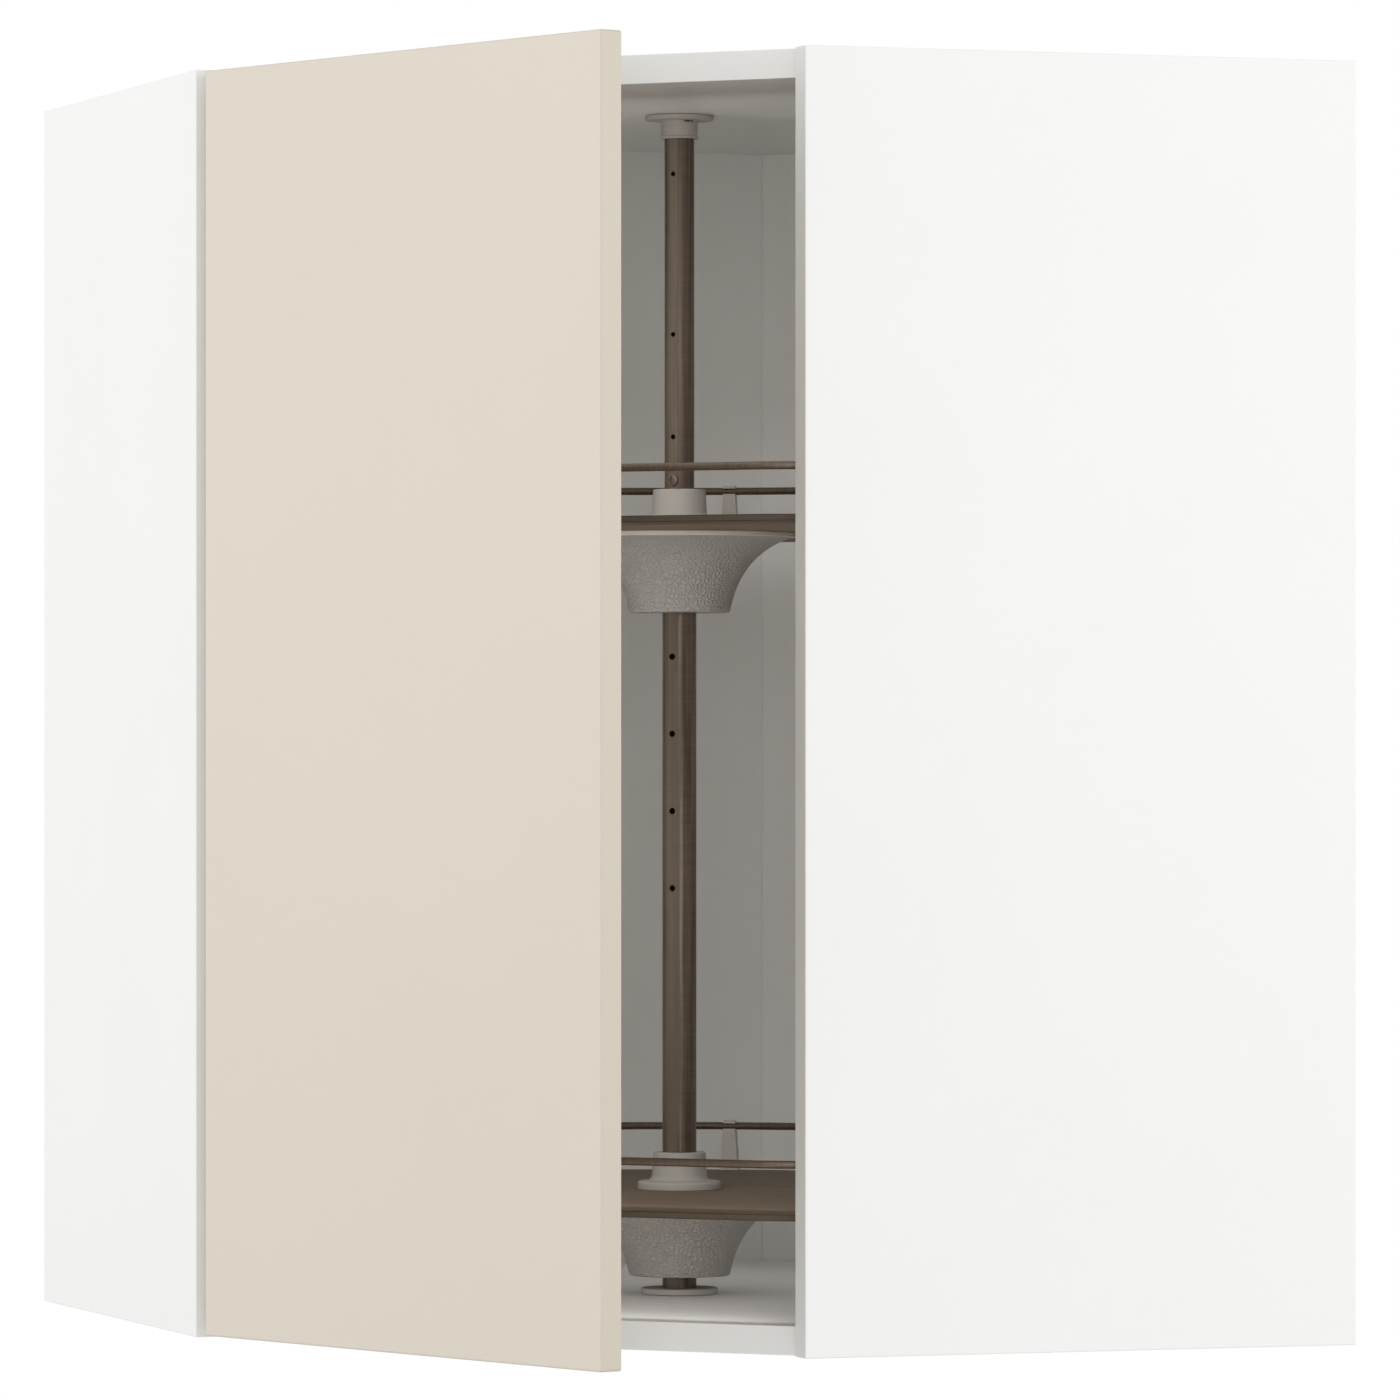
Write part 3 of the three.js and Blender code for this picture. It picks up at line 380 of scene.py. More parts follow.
def moulded_plastic(name, colour, grained=False):
    finish = Finish(name, {"Specular IOR Level": 0.35})
    here = finish.place()
    eroded = finish.noise(here, 2600, 2)
    cloud = finish.noise(here, 30, 2)
    deeper = tuple(0.9 * part for part in colour[:3]) + (1,)
    tone = finish.between(cloud, colour, deeper)
    finish.feed("Roughness", 0.52 + 0.14 * (eroded - 0.5))
    if grained:
        level = finish.vector("MULTIPLY", here, (1, 1, 0))
        radius = finish.vector("LENGTH", level, output="Value")
        rim = ((radius - SMOOTH_LIT_RIM_START) / SMOOTH_LIT_RIM_BLEND).held()
        # painted highlight: the smooth rim is made pale
        tone = finish.between(rim, tone, PALE_PLASTIC)
        wander = finish.node("TexNoise", {}, {"Vector": here, "Scale": 300, "Detail": 1}, "Color")
        bent = {"Vector": finish.vector("MULTIPLY_ADD", wander, (0.0024,) * 3, here), "Scale": 330}
        cell = finish.node("TexVoronoi", {"feature": "DISTANCE_TO_EDGE"}, bent)
        pebble = (3.2 * cell).held() ** 0.6
        finish.feed("Normal", finish.bump((1 - rim) * pebble + 0.1 * eroded, 0.0008, 0.9))
    else:
        finish.feed("Normal", finish.bump(eroded, 0.00003, 0.5))
    finish.feed("Base Color", tone)
    return finish.material


grey_plastic = moulded_plastic("grey_plastic", PLASTIC)
grained_plastic = moulded_plastic("grained_plastic", PLASTIC, grained=True)
pale_plastic = moulded_plastic("pale_plastic", PALE_PLASTIC)
print("plastic", [round(v, 3) for v in PLASTIC[:3]], [round(v, 3) for v in PALE_PLASTIC[:3]])

# %% [markdown]
# **Nickel steel.** The hinges and the hanging brackets are pressed from sheet and nickel plated.
# The plating is bright but not a mirror: it keeps the rolling lines of the sheet underneath.


# %% Nickel steel
NICKEL = (0.62, 0.61, 0.6, 1)
NICKEL_DARK = (0.54, 0.53, 0.52, 1)


def nickel_steel():
    finish = Finish("nickel_steel", {"Metallic": 1.0, "IOR": 2.0})
    rolled = finish.noise(finish.place(stretch=(1, 1, 30)), 60, 3)
    spot = finish.noise(finish.place(), 90, 2)
    finish.feed("Base Color", finish.between(spot, NICKEL, NICKEL_DARK))
    finish.feed("Roughness", 0.22 + 0.16 * rolled)
    finish.feed("Normal", finish.bump(rolled, 0.00001, 0.3))
    return finish.material


steel = nickel_steel()
FINISHES = {
    "white_board": white_board,
    "white_back": white_back,
    "beige_front": beige_front,
    "bronze": bronze_post,
    "brown_tray": brown_tray,
    "grey_plastic": grey_plastic,
    "steel": steel,
}
print("slots", len(FINISHES))

# %% [markdown]
# ## Making surfaces
#
# Nearly every piece here is one sheet of quads: a grid of points whose rows close on themselves. A
# round piece is a profile carried round an axis, a board is an outline carried through its
# thickness, and a rail is a small circle carried along a line. So one function turns a grid into a
# closed mesh, and the pieces only have to say where their points are.


# %% From a grid of points to a piece
UNTURNED = Matrix.Identity(4)


def smooth_over(mesh, sharp=38):
    """Smooth shading, except across edges that turn by more than `sharp` degrees."""
    mesh.shade_smooth()
    mesh.set_sharp_from_angle(angle=math.radians(sharp))


def inside_out(mesh):
    """True where the faces point inwards: the sum of the volumes of the small
    pyramids from the origin to each triangle is then negative."""
    mesh.calc_loop_triangles()
    corner = np.empty(len(mesh.loop_triangles) * 3, np.int32)
    mesh.loop_triangles.foreach_get("vertices", corner)
    point = np.empty(len(mesh.vertices) * 3)
    mesh.vertices.foreach_get("co", point)
    a, b, c = point.reshape(-1, 3)[corner.reshape(-1, 3)].transpose(1, 0, 2)
    return np.einsum("ij,ij->", a, np.cross(b, c)) < 0


def skin(name, grid, ring=False, place=UNTURNED):
    """A closed mesh over a grid of points in mm. Each quad joins two neighbours of a row to the
    two above them. With `ring` the last row joins the first, otherwise a lid closes each end."""
    rows, around = grid.shape[:2]
    index = np.arange(rows * around).reshape(rows, around)
    lower = index if ring else index[:-1]
    upper = np.roll(index, -1, 0) if ring else index[1:]
    quads = np.stack([lower, np.roll(lower, -1, 1), np.roll(upper, -1, 1), upper], -1)
    faces = quads.reshape(-1, 4).tolist()
    if not ring:
        faces += [index[0, ::-1].tolist(), index[-1].tolist()]
    turn = np.array(place)
    points = grid.reshape(-1, 3) @ turn[:3, :3].T + turn[:3, 3]
    mesh = bpy.data.meshes.new(name)
    mesh.from_pydata((points / 1000).tolist(), [], faces)
    if inside_out(mesh):
        mesh.flip_normals()
    smooth_over(mesh)
    piece = bpy.data.objects.new(name, mesh)
    bpy.context.scene.collection.objects.link(piece)
    return piece


def dress(piece, body, slot, *nodes, finish=None):
    """Attaches a piece to its body, gives it the finish of its slot or another one, and hides the
    CAD nodes that it stands for."""
    piece.data.materials.clear()
    piece.data.materials.append(finish or FINISHES[slot])
    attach(piece, body)
    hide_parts(*nodes)


def flat_faces(piece):
    """Lets the large faces set the normals, so that only the arrises look round."""
    weighted = piece.modifiers.new("flat faces", "WEIGHTED_NORMAL")
    weighted.weight = 100
    weighted.keep_sharp = True
    return piece


# %% Outlines and profiles
def eased(corners, cut, steps=4):
    """Rounds every corner P of a closed outline: a quadratic Bezier curve leaves P by `cut` on one
    side and comes back by `cut` on the other, with P as its control point."""
    corner = np.asarray(corners, float)
    behind = np.roll(corner, 1, 0) - corner
    ahead = np.roll(corner, -1, 0) - corner
    cut = np.broadcast_to(cut, len(corner))[:, None]
    start = corner + cut * behind / np.linalg.norm(behind, axis=1, keepdims=True)
    end = corner + cut * ahead / np.linalg.norm(ahead, axis=1, keepdims=True)
    t = np.linspace(0, 1, steps + 1)[None, :, None]
    control = corner[:, None]
    curve = (1 - t) ** 2 * start[:, None] + 2 * t * (1 - t) * control + t**2 * end[:, None]
    curve = curve.reshape(-1, 2)
    step = np.linalg.norm(curve - np.roll(curve, 1, 0), axis=1)
    return curve[step > 1e-5]


def drawn_in(outline, inset):
    """The outline moved inwards by `inset`: each point goes along the sum of the outward normals
    of its two edges, over 1 plus their dot product."""
    edge = np.roll(outline, -1, 0) - outline
    normal = np.stack([edge[:, 1], -edge[:, 0]], 1)
    normal /= np.linalg.norm(normal, axis=1, keepdims=True)
    before = np.roll(normal, 1, 0)
    lean = (normal + before) / (1 + np.sum(normal * before, axis=1, keepdims=True))
    return outline - inset * lean


def plate(name, outline, low, high, arris, place=UNTURNED, steps=4):
    """An outline carried from `low` to `high`. Near both faces it is drawn in along a quarter of a
    circle: by arris (1 - cos a) at a height of arris (1 - sin a) from the face."""
    a = np.linspace(math.pi / 2, 0, steps + 1)
    inset = arris * (1 - np.cos(a))
    height = arris * (1 - np.sin(a))
    insets = np.concatenate([inset, inset[::-1]])
    heights = np.concatenate([low + height, high - height[::-1]])
    rows = [
        np.column_stack([drawn_in(outline, i), np.full(len(outline), z)])
        for i, z in zip(insets, heights)
    ]
    return flat_faces(skin(name, np.stack(rows), place=place))


def turned(name, profile, around=96, ring=False, place=UNTURNED):
    """A profile of radius and height, carried once round +Z."""
    angle = np.linspace(0, 2 * math.pi, around, endpoint=False)
    radius, height = np.asarray(profile, float).T
    grid = np.stack([
        np.outer(radius, np.cos(angle)),
        np.outer(radius, np.sin(angle)),
        np.repeat(height[:, None], around, 1),
    ], -1)
    return skin(name, grid, ring, place)


def open_profile(corners, cuts):
    """A profile with two ends: its inner corners are eased, its ends stay."""
    return eased(corners, [0, *cuts, 0], 5)


print("an eased square has", len(eased([[0, 0], [9, 0], [9, 9], [0, 9]], 1)), "points")

# %% [markdown]
# Holes are drilled as in the workshop: a plain rod is set across the piece and taken away from it.
# The result is stored as the piece's own mesh, so no live modifier is left behind.


# %% Drilling
def rod(radius, start, end, around=32):
    """A straight rod between two points."""
    start, end = Vector(start), Vector(end)
    along = end - start
    place = Matrix.Translation(start) @ along.to_track_quat("Z", "Y").to_matrix().to_4x4()
    return turned("drill", [[radius, 0], [radius, along.length]], around, place=place)


def block(low, high, place=UNTURNED):
    """A square-edged block between two corners."""
    (x0, y0, z0), (x1, y1, z1) = low, high
    corners = np.array([[x0, y0], [x1, y0], [x1, y1], [x0, y1]], float)
    rows = [np.column_stack([corners, np.full(4, z)]) for z in (z0, z1)]
    return skin("cutter", np.stack(rows), place=place)


def without(piece, cutters):
    """The piece less its cutters, stored as a plain mesh."""
    weighted = [m for m in piece.modifiers if m.type == "WEIGHTED_NORMAL"]
    for modifier in weighted:
        piece.modifiers.remove(modifier)
    for cutter in cutters:
        cut = piece.modifiers.new("cut", "BOOLEAN")
        cut.object = cutter
        cut.solver = "EXACT"
    bpy.context.view_layer.update()
    view = bpy.context.evaluated_depsgraph_get()
    mesh = bpy.data.meshes.new_from_object(piece.evaluated_get(view))
    piece.modifiers.clear()
    piece.data = mesh
    for cutter in cutters:
        bpy.data.objects.remove(cutter)
    smooth_over(mesh)
    return flat_faces(piece) if weighted else piece


# %% [markdown]
# ## The carcass
#
# Two side panels stand square to the walls. The top and the bottom panel are cut to five sides,
# with their front edge a little behind the front edges of the sides, and the thin back is three
# panels: one for each wall and a narrow one across the corner. Foil-covered boards have arrises
# eased by half a millimetre or so, which catch the light as a thin line. That line is what makes a
# drawn box look like a board, so each board is its outline with the arrises rounded off.

# %% Sizes of the carcass
HEIGHT = 800
BOARD = 18
BACK_BOARD = 6
AXIS_TO_SIDE = 337.3  # the outer face of a side panel, from the post
ALONG_WALL = 665.2
SIDE_DEPTH = 366
WALL_FACE = ALONG_WALL - AXIS_TO_SIDE
SIDE_FRONT = WALL_FACE - SIDE_DEPTH
SIDE_INNER = -AXIS_TO_SIDE + BOARD
BACK_INNER = WALL_FACE - BACK_BOARD
CORNER_CUT = 147.2  # what the narrow back panel takes off one wall and the other, together
CORNER_SUM = 2 * BACK_INNER - CORNER_CUT
DECK_SETBACK = 11.9  # measured as a shift of x + y
DECK_FRONT_SUM = SIDE_INNER + SIDE_FRONT + DECK_SETBACK
SEAT = 0.3
BUTT = 0.03  # boards are pulled tight against each other, so no light comes through
BOARD_ARRIS = 0.7
BACK_ARRIS = 0.3
CEILING = HEIGHT - BOARD


def across(points):
    """The same outline on the other side of the diagonal."""
    return [[y, x] for x, y in points][::-1]


print("inside, along a wall", round(BACK_INNER - SIDE_INNER, 1), "mm")

# %% Side panels
side_outline = [
    [-AXIS_TO_SIDE, SIDE_FRONT], [SIDE_INNER, SIDE_FRONT],
    [SIDE_INNER, WALL_FACE], [-AXIS_TO_SIDE, WALL_FACE],
]
for side, corners in (("left", side_outline), ("right", across(side_outline))):
    name = f"side_panel_{side}"
    panel = plate(name + "_board", eased(corners, 0.9), 0, HEIGHT, BOARD_ARRIS)
    dress(panel, "carcass", "white_board", name)
print("side panel", [round(1000 * v) for v in panel.dimensions])

# %% Top and bottom panels
deck_side = SIDE_INNER + BUTT
deck_back = BACK_INNER - BUTT
deck_corner = CORNER_SUM - BUTT * math.sqrt(2)
deck_outline = [
    [deck_side, DECK_FRONT_SUM - deck_side], [DECK_FRONT_SUM - deck_side, deck_side],
    [deck_back, deck_side], [deck_back, deck_corner - deck_back],
    [deck_corner - deck_back, deck_back], [deck_side, deck_back],
]
for name, low in (("top_panel", CEILING), ("bottom_panel", 0)):
    panel = plate(name + "_board", eased(deck_outline, 0.7), low, low + BOARD, 0.5)
    dress(panel, "carcass", "white_board", name)
print("top panel", [round(1000 * v) for v in panel.dimensions])

# %% Back panels, with the holes for the two wall bolts
BRACKET = {"width": 40, "height": 84, "drop": 14}
BOLT_SHARE = 0.62  # how far across the bracket its wall bolt is
BOLT_RADIUS = 4.5
BOLT_X = SIDE_INNER + SEAT + BRACKET["width"] * BOLT_SHARE
BOLT_Z = CEILING - BRACKET["drop"] - BRACKET["height"] / 2
bolt_line = [[BOLT_X, BACK_INNER - 9], [BOLT_X, WALL_FACE + 9]]
mitre_inner = CORNER_SUM - BACK_INNER
mitre_outer = CORNER_SUM + BACK_BOARD * math.sqrt(2) - WALL_FACE
back_outline = [
    [deck_side, BACK_INNER], [mitre_inner - BUTT, BACK_INNER],
    [mitre_outer - BUTT, WALL_FACE], [deck_side, WALL_FACE],
]
corner_outline = [
    [mitre_inner, BACK_INNER], [BACK_INNER, mitre_inner],
    [WALL_FACE, mitre_outer], [mitre_outer, WALL_FACE],
]
BACK_PANELS = {
    "left": (back_outline, bolt_line),
    "right": (across(back_outline), across(bolt_line[::-1])),
    "corner": (corner_outline[::-1], None),
}
for side, (corners, bolt) in BACK_PANELS.items():
    name = f"back_panel_{side}"
    outline = eased(corners, BACK_ARRIS, 2)
    panel = plate(name + "_board", outline, 0, HEIGHT, BACK_ARRIS, steps=2)
    if bolt:
        without(panel, [rod(BOLT_RADIUS, *((x, y, BOLT_Z) for x, y in bolt))])
    dress(panel, "carcass", "white_back", name)
print("corner strip", round(math.hypot(*(np.subtract(*corner_outline[:2])))), "mm wide")

# %% [markdown]
# ## The door
#
# A 16 mm slab whose edges are rounded before it is lacquered. It hangs on two-pivot hinges, so its
# open place comes from two turns: the hinge link turns back about the arm's pivot by a third of
# the door's angle, and the door turns about the cup's pivot by four thirds of it.
#
# The matrices below repeat that chain, so the door is made lying flat at its shut place and then
# carried to where it stands ajar.

# %% Where the door stands
ARM_PIVOT = Vector((54.5, 16.5, 0))
CUP_PIVOT = Vector((21.2, 8.9, 0))
LINK_SHARE = -1 / 3


def turn_about(pivot, angle):
    return Matrix.Translation(pivot) @ Matrix.Rotation(angle, 4, "Z") @ Matrix.Translation(-pivot)


front_corner = Matrix.Translation((-AXIS_TO_SIDE, SIDE_FRONT, 0))
front_place = front_corner @ Matrix.Rotation(-math.pi / 4, 4, "Z")
link_place = front_place @ turn_about(ARM_PIVOT, -LINK_SHARE * AJAR)
door_place = link_place @ turn_about(CUP_PIVOT, -AJAR * (1 - LINK_SHARE))
print("cup pivot at", [round(v, 1) for v in link_place @ CUP_PIVOT])

# %% Door slab
DOOR_WIDTH = 397
DOOR_REVEAL = 1.5
DOOR_THICKNESS = 16
DOOR_START = 13.05
DOOR_BACK = 11
DOOR_ROUND = 1.3
HINGE_HEIGHTS = (165, 635)
CUP_X = DOOR_START + 22
CUP_POCKET = 17.8
STANDING = Matrix.Rotation(math.pi / 2, 4, "X")  # the outline's second number becomes the height

door_outline = [
    [DOOR_START, DOOR_REVEAL], [DOOR_START + DOOR_WIDTH, DOOR_REVEAL],
    [DOOR_START + DOOR_WIDTH, HEIGHT - DOOR_REVEAL], [DOOR_START, HEIGHT - DOOR_REVEAL],
]
door = plate(
    "door_slab", eased(door_outline, 1.8, 6), -DOOR_BACK, DOOR_THICKNESS - DOOR_BACK,
    DOOR_ROUND, door_place @ STANDING, steps=6,
)
pockets = [
    rod(CUP_POCKET, *(door_place @ Vector((CUP_X, y, z)) for y in (-0.8, 14)), 64)
    for z in HINGE_HEIGHTS
]
without(door, pockets)
dress(door, "door", "beige_front", "door")
print("door", len(door.data.polygons), "faces")

# %% [markdown]
# ## Hinges and hanging brackets
#
# These are pressed and folded from sheet steel, and their solids already have the right shape.
# What is missing is the soft edge that pressing leaves. Here a formula would only repeat the
# solid, so each is a copy of it: its loose triangles are merged, flat neighbours are joined, and a
# Bevel modifier rolls the edges over.


# %% Soft edges on pressed pieces
def softened(node, width):
    """A merged copy of a CAD node, its edges rolled over by `width` mm."""
    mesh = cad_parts[node].data.copy()
    piece = bpy.data.objects.new(node + "_pressed", mesh)
    bpy.context.scene.collection.objects.link(piece)
    weld = piece.modifiers.new("weld", "WELD")
    weld.merge_threshold = 0.00002
    flat = piece.modifiers.new("flat", "DECIMATE")
    flat.decimate_type = "DISSOLVE"
    flat.angle_limit = math.radians(1)
    view = bpy.context.evaluated_depsgraph_get()
    piece.data = bpy.data.meshes.new_from_object(piece.evaluated_get(view))
    piece.modifiers.clear()
    smooth_over(piece.data, 30)
    bevel = piece.modifiers.new("rolled edge", "BEVEL")
    bevel.width = width / 1000
    bevel.segments = 2
    bevel.limit_method = "ANGLE"
    bevel.angle_limit = math.radians(40)
    bevel.harden_normals = True
    return piece


PRESSED = {
    "hinge_mounting_plate": ("carcass", 0.3), "hinge_arm": ("carcass", 0.3),
    "hinge_arm_pin": ("carcass", 0.2), "hinge_link": ("hinge_links", 0.2),
    "hinge_cup": ("door", 0.15), "hinge_cup_pin": ("door", 0.1),
}
for level in ("lower", "upper"):
    for kind, (body, width) in PRESSED.items():
        node = f"{level}_{kind}"
        dress(softened(node, width), body, "steel", node)
for side in ("left", "right"):
    node = f"hanging_bracket_{side}"
    dress(softened(node, 0.3), "carcass", "steel", node)
print("pressed pieces", 2 * len(PRESSED) + 2)

# %% [markdown]
# ## Screws
#
# All the screws are domed with a cross recess. The dome is a profile turned round the screw's
# axis, and the recess is two blocks taken out of it. Each size is written as a share of the head.


# %% Cross-head screws
def cross_screw(name, place, head, height, shank, length):
    """A domed head on a pointed shank: head up, the seat of the head at height 0. The dome is a
    full quarter ellipse: head (cos a) ** 0.7 by height (0.4 + 0.6 sin a)."""
    a = np.linspace(0, 0.47 * math.pi, 12)
    dome = np.column_stack([head * np.cos(a) ** 0.7, 0.4 * height + 0.6 * height * np.sin(a)])
    stem = [[0.25, -length], [shank, -length + 1.4 * shank], [shank, 0], [head, 0]]
    screw = turned(name, np.vstack([stem, dome]), 48, place=place)
    reach, half, floor = head * 0.6, head * 0.15, height * 0.2
    cuts = [
        block((-reach, -half, floor), (reach, half, height + 1), place),
        block((-half, -reach, floor), (half, reach, height + 1), place),
    ]
    return without(screw, cuts)


MOUNTING_PLATE = 2.6
CUP_FLANGE = 1.1
PLATE_SCREW_INSET = 37
CUP_SCREW_X = CUP_X + 9.5
FLANGE_TOP = DOOR_BACK + SEAT + CUP_FLANGE
plate_top = SIDE_INNER + 2 * SEAT + MOUNTING_PLATE
to_right = Matrix.Rotation(math.pi / 2, 4, "Y")
to_back = Matrix.Rotation(-math.pi / 2, 4, "X")
plate_seat = Matrix.Translation((plate_top, SIDE_FRONT + PLATE_SCREW_INSET, 0)) @ to_right
cup_seat = door_place @ Matrix.Translation((CUP_SCREW_X, FLANGE_TOP + SEAT, 0)) @ to_back
HINGE_SCREWS = {  # body, seat at the middle of the hinge, how far up or down, sizes
    "plate": ("carcass", plate_seat, 16, {"head": 3.6, "height": 2, "shank": 1.6, "length": 13}),
    "cup": ("door", cup_seat, 22.5, {"head": 3.6, "height": 1.8, "shank": 1.6, "length": 10}),
}
for level, z in zip(("lower", "upper"), HINGE_HEIGHTS):
    for end, way in (("low", -1), ("high", 1)):
        for kind, (body, seat, rise, size) in HINGE_SCREWS.items():
            node = f"{level}_hinge_{kind}_screw_{end}"
            place = Matrix.Translation((0, 0, z + way * rise)) @ seat
            dress(cross_screw(node + "_turned", place, **size), body, "steel", node)
print("hinge screws", 8)

# %% [markdown]
# ## The post
#
# Two tubes slide in one another, so that one post fits cabinets of several heights. Each has a row
# of holes that faces the door, and a cross-head screw locks the two at the chosen height.

# %% Tubes and their holes
TRAY_TOPS = {"lower": 86, "upper": 515.5}
TOP_DISC = 3.1
BOTTOM_DISC = 3.8
LOWER_TUBE = {"radius": 11, "wall": 1.1, "foot": BOARD + 2 * SEAT + BOTTOM_DISC}
LOWER_TUBE_TOP = TRAY_TOPS["upper"] + 20
TUBE_OVERLAP = 66
UPPER_TUBE = {"radius": 9.6, "wall": 1.2, "foot": LOWER_TUBE_TOP - TUBE_OVERLAP}
UPPER_TUBE_TOP = CEILING - SEAT - TOP_DISC
LOWER_HOLE, UPPER_HOLE, LOCK_HOLE = 2.1, 1.6, 2.3
LOWER_HOLE_HEIGHTS = [281 + 50 * i for i in range(4)]
UPPER_HOLE_DROPS = (38.4, 142.4, 208.7)
LOCK_SCREW = {"head": 3.9, "height": 2.2, "shank": 2, "length": 6}
LOCK_SCREW_Z = TRAY_TOPS["upper"] + 29.8
doorward = Vector((math.cos(DOOR_FACING), math.sin(DOOR_FACING), 0))


def tube(name, radius, wall, foot, top):
    """A rectangle, its corners eased, carried round the post."""
    bore = radius - wall
    section = [[bore, foot], [radius, foot], [radius, top], [bore, top]]
    return turned(name, eased(section, 0.35), 112, ring=True)


def door_hole(radius, z):
    middle = Vector((0, 0, z))
    return rod(radius, middle + 2 * doorward, middle + 20 * doorward)


lower_tube = tube("lower_tube_drilled", top=LOWER_TUBE_TOP, **LOWER_TUBE)
without(lower_tube, [door_hole(LOWER_HOLE, z) for z in LOWER_HOLE_HEIGHTS])
dress(lower_tube, "carcass", "bronze", "lower_tube")

upper_tube = tube("upper_tube_drilled", top=UPPER_TUBE_TOP, **UPPER_TUBE)
upper_holes = [door_hole(UPPER_HOLE, CEILING - drop) for drop in UPPER_HOLE_DROPS]
without(upper_tube, upper_holes + [door_hole(LOCK_HOLE, LOCK_SCREW_Z)])
dress(upper_tube, "carcass", "bronze", "upper_tube")

facing = Matrix.Rotation(DOOR_FACING, 4, "Z")
lock_reach = UPPER_TUBE["radius"] + SEAT
lock_seat = Matrix.Translation(lock_reach * doorward + Vector((0, 0, LOCK_SCREW_Z)))
lock_screw = cross_screw("locking_screw_turned", lock_seat @ facing @ to_right, **LOCK_SCREW)
dress(lock_screw, "carcass", "steel", "locking_screw", finish=bronze_screw)
print("post stands", round(UPPER_TUBE_TOP - LOWER_TUBE["foot"], 1), "mm high")

# %% [markdown]
# ## Flanges
#
# A plastic disc under the ceiling and one on the floor of the cabinet hold the post. The upper one
# has a collar that the thin tube goes up into, with a small latch slot in its side.

# %% Top and bottom flange
z1 = CEILING - SEAT
z0 = z1 - TOP_DISC
top_profile = open_profile([
    [9.9, z0 - 2], [9.9, z1 - 15], [12.3, z1 - 15], [12.3, z1 - 13.6], [11.8, z1 - 13.2],
    [11.8, z0], [22.2, z0], [22.2, z1], [4.7, z1], [4.7, z1 + 7.4], [3.9, z1 + 8],
], [0.2, 0.35, 0.3, 0.3, 0.9, 0.9, 0.4, 0.2, 0.3])
top_flange = turned("top_flange_moulded", top_profile)
slot_turn = Matrix.Rotation(math.radians(-78), 4, "Z")
without(top_flange, [block((9.4, -3.7, z0 - 1.3), (13, 3.7, z0 - 0.1), slot_turn)])
dress(top_flange, "carcass", "grey_plastic", "top_flange")

z0 = BOARD + SEAT
z1 = z0 + BOTTOM_DISC
bottom_profile = open_profile([
    [3.9, z0 - 8], [4.7, z0 - 7.4], [4.7, z0], [25, z0], [25, z1], [9.6, z1],
    [9.6, z1 + 14], [8.2, z1 + 15.2],
], [0.3, 0.2, 0.4, 1.1, 0.4, 0.5])
bottom_flange = turned("bottom_flange_moulded", bottom_profile)
dress(bottom_flange, "carcass", "grey_plastic", "bottom_flange")
print("flange faces", len(top_flange.data.polygons), len(bottom_flange.data.polygons))

# %% Stop rings inside the hubs
SKIRT_FOOT = SEAT + 12
SKIRT_RADIUS = 15
HUB_BORE = 11.3
STOP_RING = 8
for level, top in TRAY_TOPS.items():
    z1 = top - SKIRT_FOOT - SEAT
    z0 = z1 - STOP_RING
    section = [[HUB_BORE, z0], [SKIRT_RADIUS, z0], [SKIRT_RADIUS, z1], [HUB_BORE, z1]]
    stop = turned(f"{level}_stop_ring_moulded", eased(section, 0.5), ring=True)
    dress(stop, "carcass", "grey_plastic", f"{level}_stop_ring")
print("stop rings", 2)

# %% [markdown]
# ## Trays and rails
#
# A tray is a half circle behind and nearly square in front, so that the shut door clears it. Its
# outline is four arcs joined by straights. The plate is one closed sheet: it leaves the hub hole,
# spreads over the top until it meets the outline, turns over the edge and comes back below.

# %% The tray's outline
TRAY_RADIUS = 250
TRAY_FRONT = 245
TRAY_CORNER = 90
TRAY_THICKNESS = 4.3
TRAY_HOLE = SKIRT_RADIUS + SEAT
OUTLINE_POINTS = 480


def tray_outline(inset):
    """Arcs of points, radius times cosine and sine about their centres: the right front corner,
    the half circle, the left front corner. They are then spaced evenly along the line."""
    side, corner = TRAY_RADIUS - inset, TRAY_CORNER - inset
    flat = TRAY_FRONT - inset
    quarter = np.linspace(0, math.pi / 2, 60)
    arcs = [
        (side - corner, corner - flat, corner, quarter - math.pi / 2),
        (0, 0, side, np.linspace(0, math.pi, 240)),
        (corner - side, corner - flat, corner, quarter + math.pi),
    ]
    line = np.vstack([
        np.column_stack([x + r * np.cos(a), y + r * np.sin(a)]) for x, y, r, a in arcs
    ])
    line = np.vstack([line, line[:1]])
    length = np.concatenate([[0], np.cumsum(np.linalg.norm(np.diff(line, axis=0), axis=1))])
    even = np.linspace(0, length[-1], OUTLINE_POINTS, endpoint=False)
    return np.column_stack([np.interp(even, length, line[:, k]) for k in (0, 1)])


def tray_place(level):
    facing_out = Matrix.Rotation(DOOR_FACING + math.pi / 2, 4, "Z")
    return Matrix.Translation((0, 0, TRAY_TOPS[level])) @ facing_out


rim = tray_outline(0)
print("tray", round(np.ptp(rim[:, 0])), "by", round(np.ptp(rim[:, 1])), "mm")


